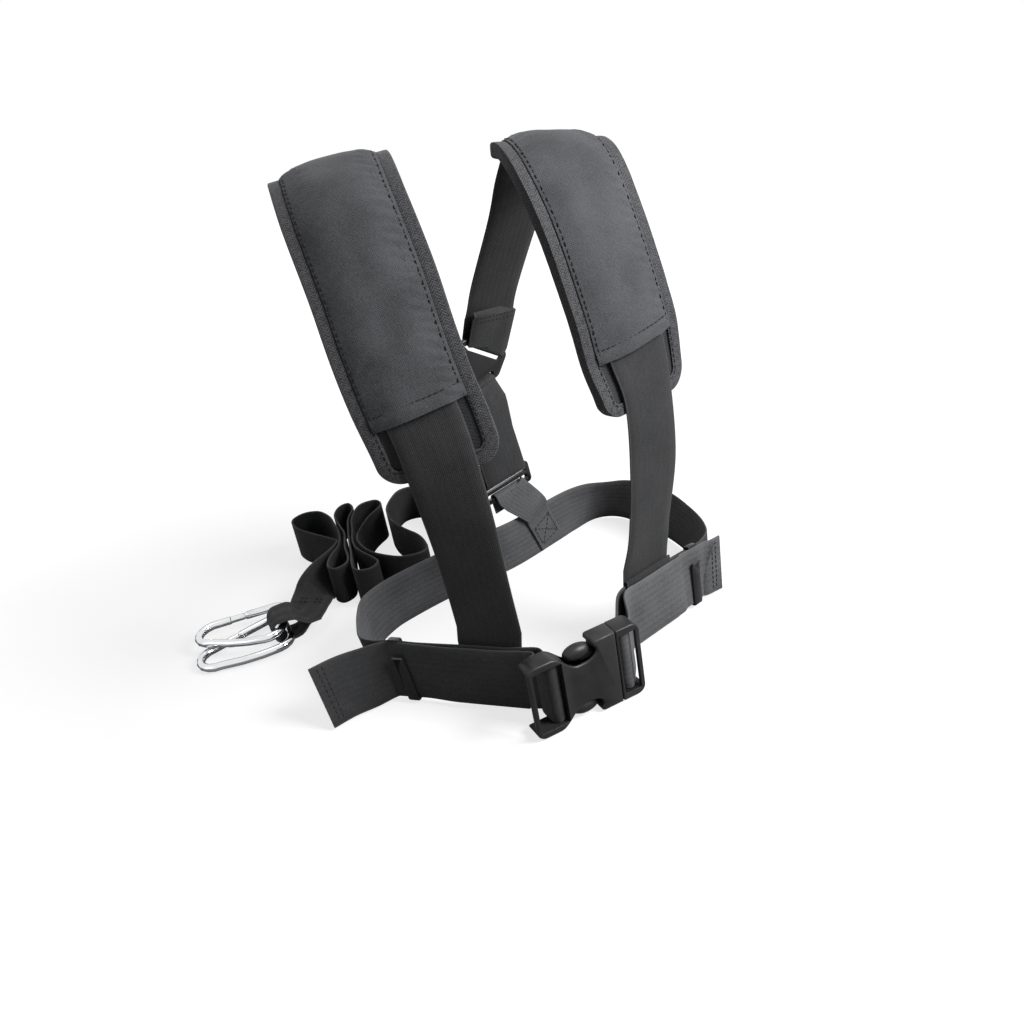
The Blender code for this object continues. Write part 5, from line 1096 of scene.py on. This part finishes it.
SEAM_HALF = 0.021
SEAM_INSET = 0.006
SEAM_GAP = 0.004
BOX_HALF = 0.0105
BOX_FROM, BOX_TO = 0.030, 0.006
EYE_SEAM_HALF = 0.011
EYE_SEAM_ROWS = (0.004, 0.009)
EYE_SEAM_LIFT = FACE + GATHER * 0.3


def bars(route, bm, rows, half, lift):
    """Rows of stitches straight across a strip"""
    for s in rows:
        stitches_on(route, bm, [(s, -half), (s, half)], lift)


bm = new_mesh()
box_from, box_to = tab.length() - BOX_FROM, tab.length() - BOX_TO
for lift in (-FACE, FACE):
    box_with_cross(tab, bm, box_from, box_to, BOX_HALF, lift)
place_mesh("tab_stitches", bm, thread)
bm = new_mesh()
bars(belt, bm, (SEAM_INSET, SEAM_INSET + SEAM_GAP), SEAM_HALF, -FACE)
belt_seam = belt.length() - SEAM_INSET
bars(belt, bm, (belt_seam, belt_seam - SEAM_GAP), SEAM_HALF, -FACE)
place_mesh("tail_stitches", bm, thread)
bm = new_mesh()
for route in (strap_left, strap_right):
    end_s = route.length() - SEAM_INSET
    bars(route, bm, (end_s, end_s - SEAM_GAP), SEAM_HALF, FACE)
for row in EYE_SEAM_ROWS:
    bars(pull, bm, (gather_from + row,), EYE_SEAM_HALF, EYE_SEAM_LIFT)
    bars(back, bm, (row, back.length() - row), SEAM_HALF, FACE)
place_mesh("strap_stitches", bm, thread)


# Floor, light and background

FLOOR_SIZE = 6.0
FLOOR_DROP = 0.0006
FLOOR_COLOUR = 0.32
FLOOR_GLOW = 0.74
GLOW_NEAR = 0.35
GLOW_FAR = 1.0
WORLD_FILL = 0.09

floor_mesh = bpy.data.meshes.new("floor")
bm = bmesh.new()
bmesh.ops.create_grid(bm, x_segments=1, y_segments=1, size=FLOOR_SIZE / 2)
bm.to_mesh(floor_mesh)
bm.free()
floor = bpy.data.objects.new("floor", floor_mesh)
bpy.context.scene.collection.objects.link(floor)
floor.location = (0, 0, -FLOOR_DROP)


def floor_material():
    """Pale floor; straight looks at it see white with the shadows kept"""
    n = Nodes("pale_floor")
    n.finish(Base_Color=(FLOOR_COLOUR,) * 3, Roughness=0.9)
    glow = n.node("ShaderNodeEmission")
    glow.inputs["Color"].default_value = (1, 1, 1, 1)
    spot = n.node("ShaderNodeVectorMath", operation="LENGTH")
    n.feed(spot.inputs[0], n.node("ShaderNodeTexCoord").outputs["Object"])
    n.feed(glow.inputs["Strength"], n.ramp(spot.outputs["Value"], GLOW_NEAR, GLOW_FAR, FLOOR_GLOW, 1.0))
    total = n.node("ShaderNodeAddShader")
    looks = n.node("ShaderNodeLightPath")
    chosen = n.node("ShaderNodeMixShader")
    n.feed(total.inputs[0], n.shader.outputs[0])
    n.feed(total.inputs[1], glow.outputs[0])
    n.feed(chosen.inputs[0], looks.outputs["Is Camera Ray"])
    n.feed(chosen.inputs[1], n.shader.outputs[0])
    n.feed(chosen.inputs[2], total.outputs[0])
    n.feed(n.tree.nodes["Material Output"].inputs[0], chosen.outputs[0])
    return n.made


floor_mesh.materials.append(floor_material())

world = bpy.data.worlds.new("studio")
bpy.context.scene.world = world
world.use_nodes = True
tree = world.node_tree
backdrop = tree.nodes["Background"]
backdrop.inputs["Color"].default_value = (1, 1, 1, 1)
rays = tree.nodes.new("ShaderNodeLightPath")
seen = tree.nodes.new("ShaderNodeMath")
seen.operation = "MAXIMUM"
clear = tree.nodes.new("ShaderNodeMath")
clear.operation = "MAXIMUM"
level = tree.nodes.new("ShaderNodeMapRange")
level.inputs["To Min"].default_value = WORLD_FILL
tree.links.new(rays.outputs["Is Camera Ray"], seen.inputs[0])
tree.links.new(rays.outputs["Is Glossy Ray"], seen.inputs[1])
tree.links.new(seen.outputs[0], clear.inputs[0])
tree.links.new(rays.outputs["Is Transmission Ray"], clear.inputs[1])
tree.links.new(clear.outputs[0], level.inputs["Value"])
tree.links.new(level.outputs[0], backdrop.inputs["Strength"])


def area_light(name, place, target, size, power):
    lamp = bpy.data.lights.new(name, "AREA")
    lamp.energy = power
    lamp.size = size
    made = bpy.data.objects.new(name, lamp)
    made.location = place
    made.rotation_euler = (Vector(target) - Vector(place)).to_track_quat("-Z", "Y").to_euler()
    bpy.context.scene.collection.objects.link(made)


MIDDLE = (0.0, 0.0, 0.15)
KEY_POWER = 30.0
FILL_POWER = 1.2
TOP_POWER = 3.0
area_light("key", (1.0, -0.45, 0.95), MIDDLE, 0.6, KEY_POWER)
area_light("fill", (-1.1, -0.6, 0.7), MIDDLE, 0.9, FILL_POWER)
area_light("top", (-0.1, 0.5, 1.5), MIDDLE, 0.9, TOP_POWER)
